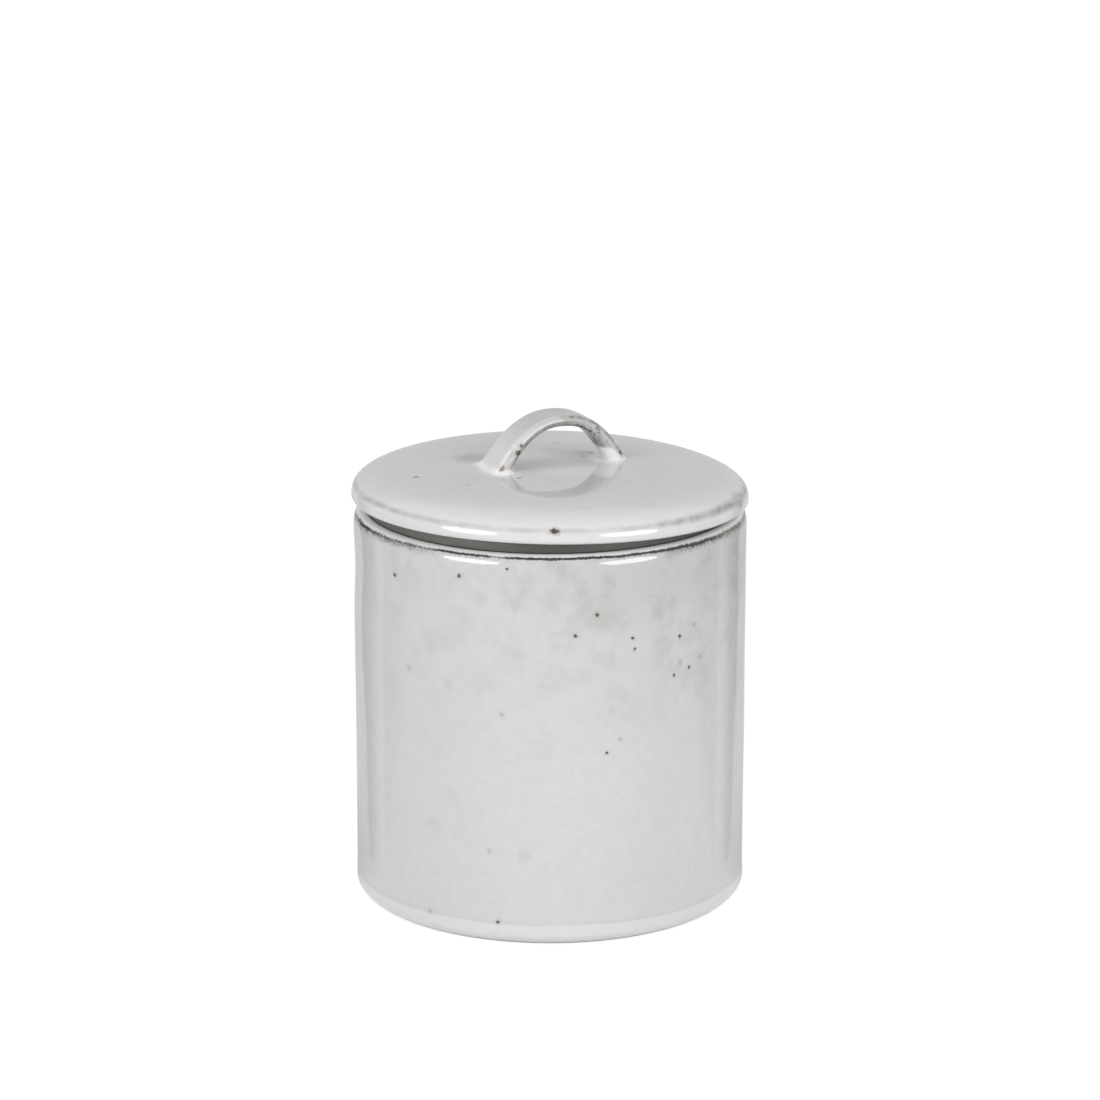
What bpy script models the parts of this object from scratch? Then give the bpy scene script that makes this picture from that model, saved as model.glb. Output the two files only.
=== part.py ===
"""Straight stoneware jar with a domed lid, a strap handle and a soft seal ring.

Units are metres, +Z is up. The origin is on the jar's axis, on the table under the foot.
"""

import math

import bmesh
import bpy

# Jar
JAR_RADIUS = 0.0600
JAR_HEIGHT = 0.1198
JAR_WALL = 0.0045
JAR_FLOOR = 0.0060
FOOT_RECESS = 0.0015
FOOT_WIDTH = 0.0070
BASE_ROUND = 0.0035
FLOOR_ROUND = 0.0060
LIP_OUTER_DROP = 0.0055
LIP_FULLNESS = 3.0
LIP_INNER_ROUND = 0.0008

# Seal ring
COLLAR_THICKNESS = 0.00285
COLLAR_INSET = 0.00035
SLEEVE_WALL = 0.0018
SLEEVE_LENGTH = 0.0095
FIN_COUNT = 2
FIN_REACH = 0.0016
FIN_ROOT = 0.0012
FIN_TIP = 0.0007
SEAL_ROUND = 0.0004

# Lid
LID_OVERHANG = 0.00045
EDGE_LOWER_ROUND = 0.0012
LID_RISE = 0.0092
LID_FULLNESS = 3.7
LID_THICKNESS = 0.0060
NECK_WALL = 0.0048
BEAD_HEIGHT = 0.0020
BEAD_REACH = 0.0007
BEAD_ROUND = 0.0009
NECK_ROUND = 0.0040

# Strap handle
HANDLE_SPAN = 0.0390
HANDLE_OFFSET = 0.0010
CROWN_SHIFT = 0.0005
HANDLE_WIDTH = 0.0130
HANDLE_THICKNESS = 0.0035
FINGER_GAP = 0.0124
LEFT_ARCH_POWER = 2.1
RIGHT_ARCH_POWER = 2.5
STRAP_SPREAD = 0.0012
FOOT_FLARE_HEIGHT = 0.0048
FOOT_FLARE_SIDE = 0.0020
FOOT_FLARE_DEPTH = 0.0015

# Clearances between neighbours
SEAT_GAP = 0.0003
MOUTH_GAP = 0.0003

# Facets
TURN_STEPS = 60
ROUND_TOLERANCE = 0.00007
LIP_STEPS = 5
LID_STEPS = 14
CEILING_STEPS = 5
STRAP_STATIONS = 32
STRAP_END_STEPS = 7

# Heights and radii worked out from the sizes above
mouth_radius = JAR_RADIUS - JAR_WALL
lip_crest_radius = mouth_radius + LIP_INNER_ROUND
floor_top = FOOT_RECESS + JAR_FLOOR

fin_radius = mouth_radius - MOUTH_GAP
sleeve_radius = fin_radius - FIN_REACH
seal_inner_radius = sleeve_radius - SLEEVE_WALL
collar_radius = lip_crest_radius - COLLAR_INSET
lip_share = min(1.0, COLLAR_INSET / LIP_INNER_ROUND)
lip_fall = LIP_INNER_ROUND * (1 - math.sqrt(1 - lip_share ** 2))
seal_height = JAR_HEIGHT - lip_fall + SEAT_GAP

lid_height = seal_height + COLLAR_THICKNESS + SEAT_GAP
lid_radius = JAR_RADIUS + LID_OVERHANG
neck_radius = seal_inner_radius - SEAT_GAP
neck_inner_radius = neck_radius - NECK_WALL
bead_top = -(COLLAR_THICKNESS + SLEEVE_LENGTH + 2 * SEAT_GAP)
neck_end = bead_top - BEAD_HEIGHT
lid_crown = EDGE_LOWER_ROUND + LID_RISE


def clear_scene():
    """Remove every object of the open file."""
    for old in list(bpy.data.objects):
        bpy.data.objects.remove(old, do_unlink=True)


def make_material(name, colour, roughness):
    """Return a Principled material of one colour.

    colour is linear red, green and blue.
    """
    material = bpy.data.materials.new(name)
    material.use_nodes = True
    shader = material.node_tree.nodes["Principled BSDF"]
    shader.inputs["Base Color"].default_value = (*colour, 1.0)
    shader.inputs["Roughness"].default_value = roughness
    shader.inputs["Metallic"].default_value = 0.0
    return material


def arc(centre, radius, start, end):
    """Return points on an arc, ends included, whose chords stay within ROUND_TOLERANCE of it."""
    longest_step = 2 * math.acos(max(0.0, 1 - ROUND_TOLERANCE / radius))
    steps = max(1, math.ceil(abs(end - start) / longest_step))
    turns = [start + (end - start) * i / steps for i in range(steps + 1)]
    return [(centre[0] + radius * math.cos(t), centre[1] + radius * math.sin(t)) for t in turns]


def fillet(before, corner, after, radius):
    """Return the points that round one corner of an outline by a tangent arc."""
    to_before = math.atan2(before[1] - corner[1], before[0] - corner[0])
    to_after = math.atan2(after[1] - corner[1], after[0] - corner[0])
    opening = (to_after - to_before + math.pi) % (2 * math.pi) - math.pi
    half = abs(opening) / 2
    middle = to_before + opening / 2
    reach = radius / math.sin(half)
    centre = (corner[0] + reach * math.cos(middle), corner[1] + reach * math.sin(middle))
    sweep = (math.pi - abs(opening)) * math.copysign(1.0, opening)
    start = middle + math.pi + sweep / 2
    return arc(centre, radius, start, start - sweep)


def full_turn(turn, fullness):
    """Return how far out and up a full, squarish quarter turn is at an angle, both from 0 to 1."""
    return math.cos(turn) ** (2 / fullness), math.sin(turn) ** (2 / fullness)


def outline(corners, closed):
    """Turn corners (radius, height, rounding) into outline points.

    An open outline starts and ends on the axis, a closed one goes round a ring's section.
    """
    points = []
    for i, (r, z, rounding) in enumerate(corners):
        inner = closed or 0 < i < len(corners) - 1
        if rounding > 0 and inner:
            before = corners[i - 1]
            after = corners[(i + 1) % len(corners)]
            points += fillet(before, (r, z), after, rounding)
        else:
            points.append((r, z))
    kept = [points[0]]
    for point in points[1:]:
        if math.dist(point, kept[-1]) > 1e-6:
            kept.append(point)
    return kept


def add_object(name, bm, material, parent, height):
    """Finish a bmesh as a named, smooth shaded object on the jar's axis."""
    bmesh.ops.recalc_face_normals(bm, faces=bm.faces)
    mesh = bpy.data.meshes.new(name)
    bm.to_mesh(mesh)
    bm.free()
    mesh.shade_smooth()
    mesh.set_sharp_from_angle(angle=math.radians(40.0))
    mesh.materials.append(material)
    piece = bpy.data.objects.new(name, mesh)
    bpy.context.collection.objects.link(piece)
    piece.parent = parent
    piece.location = (0.0, 0.0, height)
    return piece


def add_axis(name, parent, height):
    """Add an empty on the jar's axis that carries what moves together."""
    empty = bpy.data.objects.new(name, None)
    bpy.context.collection.objects.link(empty)
    empty.parent = parent
    empty.location = (0.0, 0.0, height)
    return empty


def turned(points, closed):
    """Spin an outline of (radius, height) points once round the axis."""
    bm = bmesh.new()
    ring = [bm.verts.new((r, 0.0, z)) for r, z in points]
    pairs = list(zip(ring, ring[1:]))
    if closed:
        pairs.append((ring[-1], ring[0]))
    edges = [bm.edges.new(pair) for pair in pairs]
    bmesh.ops.spin(
        bm,
        geom=ring + edges,
        cent=(0.0, 0.0, 0.0),
        axis=(0.0, 0.0, 1.0),
        angle=2 * math.pi,
        steps=TURN_STEPS,
        use_merge=True,
    )
    bmesh.ops.remove_doubles(bm, verts=bm.verts, dist=1e-6)
    return bm


def build_jar(material):
    """Make the body: foot ring, straight wall, softly rolled lip and rounded floor."""
    foot_inner = JAR_RADIUS - BASE_ROUND - FOOT_WIDTH
    foot_round = FOOT_RECESS / 2
    below_lip = JAR_HEIGHT - LIP_OUTER_DROP
    outside = [
        (0.0, FOOT_RECESS, 0.0),
        (foot_inner, FOOT_RECESS, foot_round),
        (foot_inner, 0.0, foot_round),
        (JAR_RADIUS, 0.0, BASE_ROUND),
        (JAR_RADIUS, below_lip, 0.0),
    ]
    inside = [
        (mouth_radius, JAR_HEIGHT - LIP_INNER_ROUND, 0.0),
        (mouth_radius, floor_top, FLOOR_ROUND),
        (0.0, floor_top, 0.0),
    ]
    lip_width = JAR_RADIUS - lip_crest_radius
    lip = []
    for i in range(1, LIP_STEPS):
        out, up = full_turn(math.pi / 2 * i / LIP_STEPS, LIP_FULLNESS)
        lip.append((lip_crest_radius + lip_width * out, JAR_HEIGHT - LIP_OUTER_DROP * (1 - up)))
    inner_centre = (lip_crest_radius, JAR_HEIGHT - LIP_INNER_ROUND)
    lip += arc(inner_centre, LIP_INNER_ROUND, math.pi / 2, math.pi)
    points = outline(outside, closed=False) + lip[:-1] + outline(inside, closed=False)
    return add_object("jar", turned(points, closed=False), material, None, 0.0)


def build_seal_ring(material, parent):
    """Make the soft ring: a collar on the lip and a finned sleeve in the mouth."""
    sleeve_end = -SLEEVE_LENGTH
    rounding = min(SEAL_ROUND, COLLAR_THICKNESS / 2, SLEEVE_WALL / 2)
    corners = [
        (seal_inner_radius, COLLAR_THICKNESS, rounding),
        (collar_radius, COLLAR_THICKNESS, rounding),
        (collar_radius, 0.0, rounding),
        (sleeve_radius, 0.0, 0.0),
    ]
    lip_depth = JAR_WALL / 2
    fin_pitch = (SLEEVE_LENGTH - lip_depth) / FIN_COUNT
    for i in range(FIN_COUNT):
        z = -lip_depth - fin_pitch * (i + 0.5)
        corners += [
            (sleeve_radius, z + FIN_ROOT / 2, 0.0),
            (fin_radius, z + FIN_TIP / 2, 0.0),
            (fin_radius, z - FIN_TIP / 2, 0.0),
            (sleeve_radius, z - FIN_ROOT / 2, 0.0),
        ]
    corners += [
        (sleeve_radius, sleeve_end, rounding),
        (seal_inner_radius, sleeve_end, rounding),
    ]
    return add_object("seal_ring", turned(outline(corners, closed=True), closed=True), material, parent, 0.0)


def lid_top(radius):
    """Return the height of the lid's low dome at a radius, in the lid's frame."""
    share = min(1.0, abs(radius) / lid_radius)
    return EDGE_LOWER_ROUND + LID_RISE * (1 - share ** LID_FULLNESS) ** (1 / LID_FULLNESS)


def lid_ceiling(radius):
    """Return the height of the hollow's ceiling at a radius, in the lid's frame."""
    return lid_top(radius) - LID_THICKNESS


def build_lid(material, parent):
    """Make the lid: dome, bull-nose edge, neck with its bead, and the hollow inside the neck."""
    dome = []
    for i in range(LID_STEPS):
        up, out = full_turn(math.pi / 2 * i / LID_STEPS, LID_FULLNESS)
        dome.append((lid_radius * out, EDGE_LOWER_ROUND + LID_RISE * up))
    bead_round = min(BEAD_ROUND, BEAD_HEIGHT / 2)
    bead_radius = neck_radius + BEAD_REACH
    ceiling = [neck_inner_radius * (1 - i / CEILING_STEPS) for i in range(CEILING_STEPS + 1)]
    corners = [
        (lid_radius, EDGE_LOWER_ROUND, 0.0),
        (lid_radius, 0.0, EDGE_LOWER_ROUND),
        (neck_radius, 0.0, SEAL_ROUND / 2),
        (neck_radius, bead_top, SEAL_ROUND / 2),
        (bead_radius, bead_top, BEAD_REACH / 2),
        (bead_radius, neck_end, bead_round),
        (neck_inner_radius, neck_end, bead_round),
        (ceiling[0], lid_ceiling(ceiling[0]), NECK_ROUND),
    ]
    corners += [(r, lid_ceiling(r), 0.0) for r in ceiling[1:]]
    points = dome + outline(corners, closed=False)
    return add_object("lid", turned(points, closed=False), material, parent, 0.0)


def strap_section(place):
    """Return the strap's section at one place along its arch, in the lid's frame.

    place runs from -1 at the left foot over 0 at the crown to 1 at the right foot.
    """
    share = abs(place)
    side = math.copysign(1.0, place)
    power = LEFT_ARCH_POWER if side < 0 else RIGHT_ARCH_POWER
    reach = HANDLE_SPAN / 2 - side * CROWN_SHIFT
    x = HANDLE_OFFSET + CROWN_SHIFT + place * reach
    foot = lid_top(HANDLE_OFFSET + side * HANDLE_SPAN / 2) + SEAT_GAP
    rise = lid_crown + FINGER_GAP + HANDLE_THICKNESS / 2 - foot
    z = foot + rise * (1 - share ** power)
    lean = math.atan(rise * power * share ** (power - 1) / reach)
    flare = max(0.0, 1 - (z - foot) / FOOT_FLARE_HEIGHT) ** 2
    tilt = lean + (math.pi / 2 - lean) * flare
    outward = (side * math.sin(tilt), math.cos(tilt))
    half_width = HANDLE_WIDTH / 2 + STRAP_SPREAD * share ** 2 + FOOT_FLARE_SIDE * flare
    half_depth = HANDLE_THICKNESS / 2 / math.cos(tilt - lean) + FOOT_FLARE_DEPTH * flare
    section = []
    for hand in (1, -1):
        for i in range(STRAP_END_STEPS + 1):
            angle = math.pi * (i / STRAP_END_STEPS - 0.5)
            through = hand * half_depth * math.sin(angle)
            px = x + outward[0] * through
            py = hand * (half_width - half_depth + half_depth * math.cos(angle))
            pz = z + outward[1] * through
            lowest = lid_top(math.hypot(px, py)) + SEAT_GAP
            section.append((px, py, lowest if share == 1.0 else max(pz, lowest)))
    return section


def build_lid_handle(material, parent):
    """Make the strap: one section lofted along the arch, its feet cut to the dome."""
    bm = bmesh.new()
    rings = []
    for i in range(STRAP_STATIONS + 1):
        place = 2 * i / STRAP_STATIONS - 1
        rings.append([bm.verts.new(point) for point in strap_section(place)])
    for near, far in zip(rings, rings[1:]):
        for j in range(len(near)):
            bm.faces.new((near[j - 1], near[j], far[j], far[j - 1]))
    bm.faces.new(rings[0])
    bm.faces.new(rings[-1])
    return add_object("lid_handle", bm, material, parent, 0.0)


def main():
    """Build the jar and the lid that lifts off it."""
    clear_scene()
    glaze = (0.62, 0.62, 0.60)
    jar_glaze = make_material("jar_glaze", glaze, 0.12)
    lid_glaze = make_material("lid_glaze", glaze, 0.12)
    handle_glaze = make_material("handle_glaze", (0.52, 0.51, 0.48), 0.15)
    silicone = make_material("grey_silicone", (0.090, 0.092, 0.082), 0.60)

    build_jar(jar_glaze)
    lift_axis = add_axis("lid_lift_axis", None, seal_height)
    build_seal_ring(silicone, lift_axis)
    turn_axis = add_axis("lid_turn_axis", lift_axis, lid_height - seal_height)
    build_lid(lid_glaze, turn_axis)
    build_lid_handle(handle_glaze, turn_axis)
    bpy.context.view_layer.update()


if __name__ == "__main__":
    main()
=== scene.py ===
"""Looks of a lidded stoneware jar: glazed body, domed lid, strap handle and soft seal ring.

Lengths are metres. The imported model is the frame: +Z runs up the jar's axis and X along the strap.
"""

import logging
import math
from collections.abc import Callable, Iterable, Sequence
from dataclasses import dataclass, field
from enum import Enum

import bpy
from mathutils import Matrix, Vector, noise
from mathutils.bvhtree import BVHTree


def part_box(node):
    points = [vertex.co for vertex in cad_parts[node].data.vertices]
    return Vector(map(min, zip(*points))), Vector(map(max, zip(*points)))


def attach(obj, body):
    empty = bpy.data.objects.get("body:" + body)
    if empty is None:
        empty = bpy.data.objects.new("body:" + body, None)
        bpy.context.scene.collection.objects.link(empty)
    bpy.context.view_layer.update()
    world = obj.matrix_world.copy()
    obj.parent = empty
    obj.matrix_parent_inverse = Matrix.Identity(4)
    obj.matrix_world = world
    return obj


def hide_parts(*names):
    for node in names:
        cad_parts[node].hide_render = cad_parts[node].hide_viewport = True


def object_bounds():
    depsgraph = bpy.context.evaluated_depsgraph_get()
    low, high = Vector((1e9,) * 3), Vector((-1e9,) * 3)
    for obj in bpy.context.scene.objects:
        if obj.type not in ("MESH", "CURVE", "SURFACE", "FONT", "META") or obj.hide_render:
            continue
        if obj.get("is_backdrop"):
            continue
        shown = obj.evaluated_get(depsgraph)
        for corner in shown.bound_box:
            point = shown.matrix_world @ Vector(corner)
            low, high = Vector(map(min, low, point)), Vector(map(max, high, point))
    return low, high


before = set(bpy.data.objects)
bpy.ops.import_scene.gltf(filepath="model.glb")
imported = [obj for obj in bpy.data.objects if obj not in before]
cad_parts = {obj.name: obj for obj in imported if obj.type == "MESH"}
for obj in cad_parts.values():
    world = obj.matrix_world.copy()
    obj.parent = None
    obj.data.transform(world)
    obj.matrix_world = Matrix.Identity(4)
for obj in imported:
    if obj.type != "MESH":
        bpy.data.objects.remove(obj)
CAD_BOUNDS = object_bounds()

log = logging.getLogger("jar")

Point = tuple[float, float]
Colour = tuple[float, float, float]
Socket = bpy.types.NodeSocket
Material = bpy.types.Material
Mesh = bpy.types.Mesh
NodeTree = bpy.types.NodeTree
Feed = Socket | float | Sequence[float]
PoolAndLight = tuple[Vector, tuple[float, float, float], float]

TURN_STEPS = 240
ROUND_TOLERANCE = 0.000012
WALL_STEP = 0.0025
CROWDING = 1.8
SHARP_ANGLE = math.radians(50.0)
SAME_PLACE = 1e-7
UP = Vector((0.0, 0.0, 1.0))


class Body(Enum):
    """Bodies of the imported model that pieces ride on."""

    JAR = "jar"
    SEAL = "seal"
    LID = "lid"


class Slot(Enum):
    """Material slots of the record, one given with each piece."""

    JAR = "jar_glaze"
    LID = "lid_glaze"
    HANDLE = "handle_glaze"
    SEAL = "seal_silicone"


class MarkKind(Enum):
    """Ways in which clay and iron show, and painted shade on the lid: a sharp spot, a veiled one, a soft
    cloud or a bare place.
    """

    SPOT = "spot"
    VEILED = "veiled"
    DAB = "dab"
    BARE = "bare"


@dataclass(frozen=True)
class Mark:
    """One iron mark in the glaze, at its pixel in the photograph; a few on the lid are painted shade instead.
    """

    column: float
    row: float
    kind: MarkKind = MarkKind.SPOT
    size: float = 0.00045
    strength: float = 1.0


@dataclass(frozen=True)
class PhotoCamera:
    """The camera of the photograph, fitted to the ellipses of rim, lid and foot."""

    distance: float = 1.0931
    height: float = 0.3936
    pitch: float = math.radians(14.729)
    turn: float = math.radians(22.0)
    focal_pixels: float = 3694.8
    frame_pixels: float = 1100.0
    sensor_mm: float = 36.0
    farthest: float = 50.0

    @property
    def toward(self) -> Vector:
        """Level direction from the jar's axis to the camera."""
        return Vector((-math.sin(self.turn), -math.cos(self.turn), 0.0))

    @property
    def right(self) -> Vector:
        """Level direction to the right of the picture."""
        return Vector((math.cos(self.turn), -math.sin(self.turn), 0.0))

    @property
    def eye(self) -> Vector:
        """Place of the camera."""
        return self.toward * self.distance + UP * self.height

    def place(self) -> None:
        """Add the camera and make it the scene's own."""
        data = bpy.data.cameras.new("photo_camera")
        data.sensor_width = self.sensor_mm
        data.lens = self.sensor_mm * self.focal_pixels / self.frame_pixels
        data.clip_end = self.farthest
        camera = link_object("photo_camera", data)
        camera.location = self.eye
        camera.rotation_euler = (math.pi / 2 - self.pitch, 0.0, -self.turn)
        bpy.context.scene.camera = camera

    def sight(self, column: float, row: float) -> Vector:
        """Return the direction in which a pixel looks.

        Args:
            column: Pixels from the left edge of the photograph.
            row: Pixels from its top edge.

        Returns:
            The direction, not of unit length.
        """
        middle = self.frame_pixels / 2
        ahead = -self.toward * math.cos(self.pitch) - UP * math.sin(self.pitch)
        above = -self.toward * math.sin(self.pitch) + UP * math.cos(self.pitch)
        across = self.right * (column - middle) / self.focal_pixels
        return ahead + across + above * (middle - row) / self.focal_pixels

    def find(self, mesh: Mesh, marks: Iterable[Mark]) -> list[tuple[Mark, Vector]]:
        """Return where marks seen in the photograph lie on a piece.

        Args:
            mesh: The piece's mesh, in the row frame.
            marks: The marks, each at its pixel.

        Returns:
            Each mark that meets the mesh, with its place.
        """
        corners = [vertex.co for vertex in mesh.vertices]
        tree = BVHTree.FromPolygons(corners, [face.vertices[:] for face in mesh.polygons])
        found = []
        for mark in marks:
            place = tree.ray_cast(self.eye, self.sight(mark.column, mark.row).normalized())[0]
            if place is None:
                log.warning("mark at %s, %s misses %s", mark.column, mark.row, mesh.name)
            else:
                found.append((mark, place))
        return found


CAMERA = PhotoCamera()


WALL_MARKS = (
    Mark(column=395, row=575, size=0.00050),
    Mark(column=459, row=576, size=0.00050),
    Mark(column=507, row=569, size=0.00032),
    Mark(column=597, row=615, size=0.00050),
    Mark(column=575.5, row=636, size=0.00040),
    Mark(column=633, row=638, size=0.00042),
    Mark(column=635, row=649, size=0.00036),
    Mark(column=680, row=636, size=0.00046),
    Mark(column=689, row=667, size=0.00050),
    Mark(column=674, row=675, size=0.00042),
    Mark(column=607, row=753, size=0.00040),
    Mark(column=498, row=922, size=0.00046),
    Mark(column=694, row=624, kind=MarkKind.VEILED, size=0.00060),
    Mark(column=680, row=662, kind=MarkKind.VEILED, size=0.00060),
    Mark(column=700, row=657, kind=MarkKind.VEILED, size=0.00055),
    Mark(column=502, row=715, kind=MarkKind.VEILED, size=0.00050),
    Mark(column=409, row=668, kind=MarkKind.VEILED, size=0.00055),
    Mark(column=621, row=739, kind=MarkKind.VEILED, size=0.00050),
    Mark(column=430, row=911, kind=MarkKind.VEILED, size=0.00060),
    Mark(column=489, row=851, kind=MarkKind.VEILED, size=0.00050),
    Mark(column=480, row=599, kind=MarkKind.DAB, size=0.0019),
    Mark(column=516, row=605, kind=MarkKind.DAB, size=0.0017),
    Mark(column=719, row=584, kind=MarkKind.DAB, size=0.0023),
    Mark(column=552, row=600, kind=MarkKind.DAB, size=0.0030, strength=0.8),
    Mark(column=429, row=638, kind=MarkKind.DAB, size=0.0030, strength=0.5),
    Mark(column=597, row=658, kind=MarkKind.DAB, size=0.0016, strength=0.7),
    Mark(column=584, row=679, kind=MarkKind.DAB, size=0.0024, strength=0.5),
    Mark(column=542, row=750, kind=MarkKind.DAB, size=0.0030, strength=0.4),
    Mark(column=452, row=798, kind=MarkKind.DAB, size=0.0024, strength=0.4),
    Mark(column=448, row=684, kind=MarkKind.DAB, size=0.0016),
    Mark(column=524, row=856, kind=MarkKind.DAB, size=0.0021, strength=0.75),
    Mark(column=434, row=826, kind=MarkKind.DAB, size=0.0024, strength=0.55),
)
LID_MARKS_AND_SHADE = (
    Mark(column=555, row=531, size=0.00062),
    Mark(column=553, row=531, size=0.00055),
    Mark(column=557.5, row=531.5, size=0.00045),
    Mark(column=550.5, row=530.5, size=0.00028),
    Mark(column=416, row=477, size=0.00060),
    Mark(column=519, row=478, size=0.00050),
    Mark(column=467, row=485, kind=MarkKind.VEILED, size=0.00060),
    Mark(column=558, row=443, kind=MarkKind.VEILED, size=0.00055),
    # Painted shade with some iron: the lid under the right leg's inner side.
    Mark(column=585, row=453, kind=MarkKind.DAB, size=0.0030, strength=2.6),
    Mark(column=590, row=452, kind=MarkKind.VEILED, size=0.00070, strength=2.0),
    Mark(column=583, row=456, kind=MarkKind.VEILED, size=0.00060, strength=2.0),
    # Painted shade: the lid beside the left leg.
    Mark(column=474, row=458, kind=MarkKind.DAB, size=0.0056, strength=3.0),
    Mark(column=740, row=499, kind=MarkKind.DAB, size=0.0026, strength=2.6),
    Mark(column=737.5, row=502, kind=MarkKind.DAB, size=0.0022, strength=2.0),
)
STRAP_MARKS = (
    Mark(column=518.5, row=453, size=0.00085),
    Mark(column=597, row=428, size=0.00042, strength=0.70),
    Mark(column=599.5, row=430, size=0.00030, strength=0.45),
    Mark(column=598.5, row=432.5, size=0.00030, strength=0.50),
    Mark(column=595, row=433.5, size=0.00030, strength=0.60),
    Mark(column=591, row=432, size=0.00028, strength=0.60),
    Mark(column=621, row=452, size=0.00075, strength=0.75),
    Mark(column=502.5, row=468.5, kind=MarkKind.BARE, size=0.00060),
    Mark(column=500.5, row=470.5, kind=MarkKind.BARE, size=0.00035),
)


class Canvas:
    """A node tree with short calls for the nodes that the finishes need."""

    def __init__(self, tree: NodeTree) -> None:
        """Keep the tree that the nodes go into."""
        self.tree = tree

    def feed(self, socket: Socket, value: Feed) -> None:
        """Give an input a link or a fixed value.

        Args:
            socket: The input.
            value: An output to link, or a number or numbers to set.
        """
        if isinstance(value, Socket):
            self.tree.links.new(value, socket)
        elif isinstance(value, (int, float)):
            socket.default_value = value
        elif len(value) < len(socket.default_value):
            socket.default_value = (*value, 1.0)
        else:
            socket.default_value = tuple(value)

    def add(
        self, kind: str, inputs: dict[str | int, Feed] | None = None, **settings: object
    ) -> bpy.types.Node:
        """Add a node.

        Args:
            kind: Blender's identifier of the node.
            inputs: Values or links for its inputs, by name or index.
            settings: Properties of the node itself.

        Returns:
            The new node.
        """
        node = self.tree.nodes.new(kind)
        for name, value in settings.items():
            setattr(node, name, value)
        for key, value in (inputs or {}).items():
            self.feed(node.inputs[key], value)
        return node

    def math(self, operation: str, first: Feed, second: Feed = 0.0) -> Socket:
        """Return one number worked out from two."""
        return self.add("ShaderNodeMath", {0: first, 1: second}, operation=operation).outputs[0]

    def times(self, first: Feed, second: Feed) -> Socket:
        """Return the product of two numbers."""
        return self.math("MULTIPLY", first, second)

    def minus(self, first: Feed, second: Feed) -> Socket:
        """Return the first number less the second."""
        return self.math("SUBTRACT", first, second)

    def vector(self, operation: str, first: Feed, second: Feed = (0.0, 0.0, 0.0)) -> Socket:
        """Return what a vector operation makes of one or two vectors: its value, or else its vector."""
        node = self.add("ShaderNodeVectorMath", {0: first, 1: second}, operation=operation)
        scalar = operation in ("DOT_PRODUCT", "DISTANCE", "LENGTH")
        return node.outputs["Value" if scalar else "Vector"]

    def ramp(self, value: Feed, low: Feed, high: Feed, start: Feed = 0.0, end: Feed = 1.0) -> Socket:
        """Return a smooth step of a value.

        Args:
            value: The value that is followed.
            low: Where the step starts.
            high: Where it ends.
            start: What comes out at low and before.
            end: What comes out at high and after.

        Returns:
            The stepped value.
        """
        inputs = {"Value": value, "From Min": low, "From Max": high, "To Min": start, "To Max": end}
        return self.add("ShaderNodeMapRange", inputs, interpolation_type="SMOOTHSTEP").outputs["Result"]

    def noise(self, place: Feed, scale: float, detail: float = 2.0, roughness: float = 0.5) -> Socket:
        """Return soft noise about one half.

        Args:
            place: Position that the noise is read at.
            scale: Waves per metre.
            detail: Octaves above the first.
            roughness: Strength of the finer octaves.

        Returns:
            The noise value.
        """
        inputs = {"Vector": place, "Scale": scale, "Detail": detail, "Roughness": roughness}
        return self.add("ShaderNodeTexNoise", inputs).outputs["Fac"]

    def mix(self, factor: Feed, first: Feed, second: Feed) -> Socket:
        """Return a colour between two others."""
        inputs = {0: factor, 6: first, 7: second}
        return self.add("ShaderNodeMix", inputs, data_type="RGBA").outputs[2]

    def part(self, place: Feed, axis: str) -> Socket:
        """Return one coordinate of a position."""
        return self.add("ShaderNodeSeparateXYZ", {0: place}).outputs[axis]

    def along(self, place: Feed, direction: Vector) -> Socket:
        """Return how far a position lies along a direction."""
        return self.vector("DOT_PRODUCT", place, direction)

    def group(self, shared: NodeTree, **inputs: Feed) -> bpy.types.Node:
        """Place a shared effect.

        Args:
            shared: The node group.
            inputs: Its inputs, by name.

        Returns:
            The group's node.
        """
        node = self.add("ShaderNodeGroup")
        node.node_tree = shared
        for name, value in inputs.items():
            self.feed(node.inputs[name], value)
        return node


CLAY_BROWN: Colour = (0.21, 0.155, 0.110)
CLAY_SAND: Colour = (0.36, 0.285, 0.215)
CLAY_GROG: Colour = (0.07, 0.05, 0.04)


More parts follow.
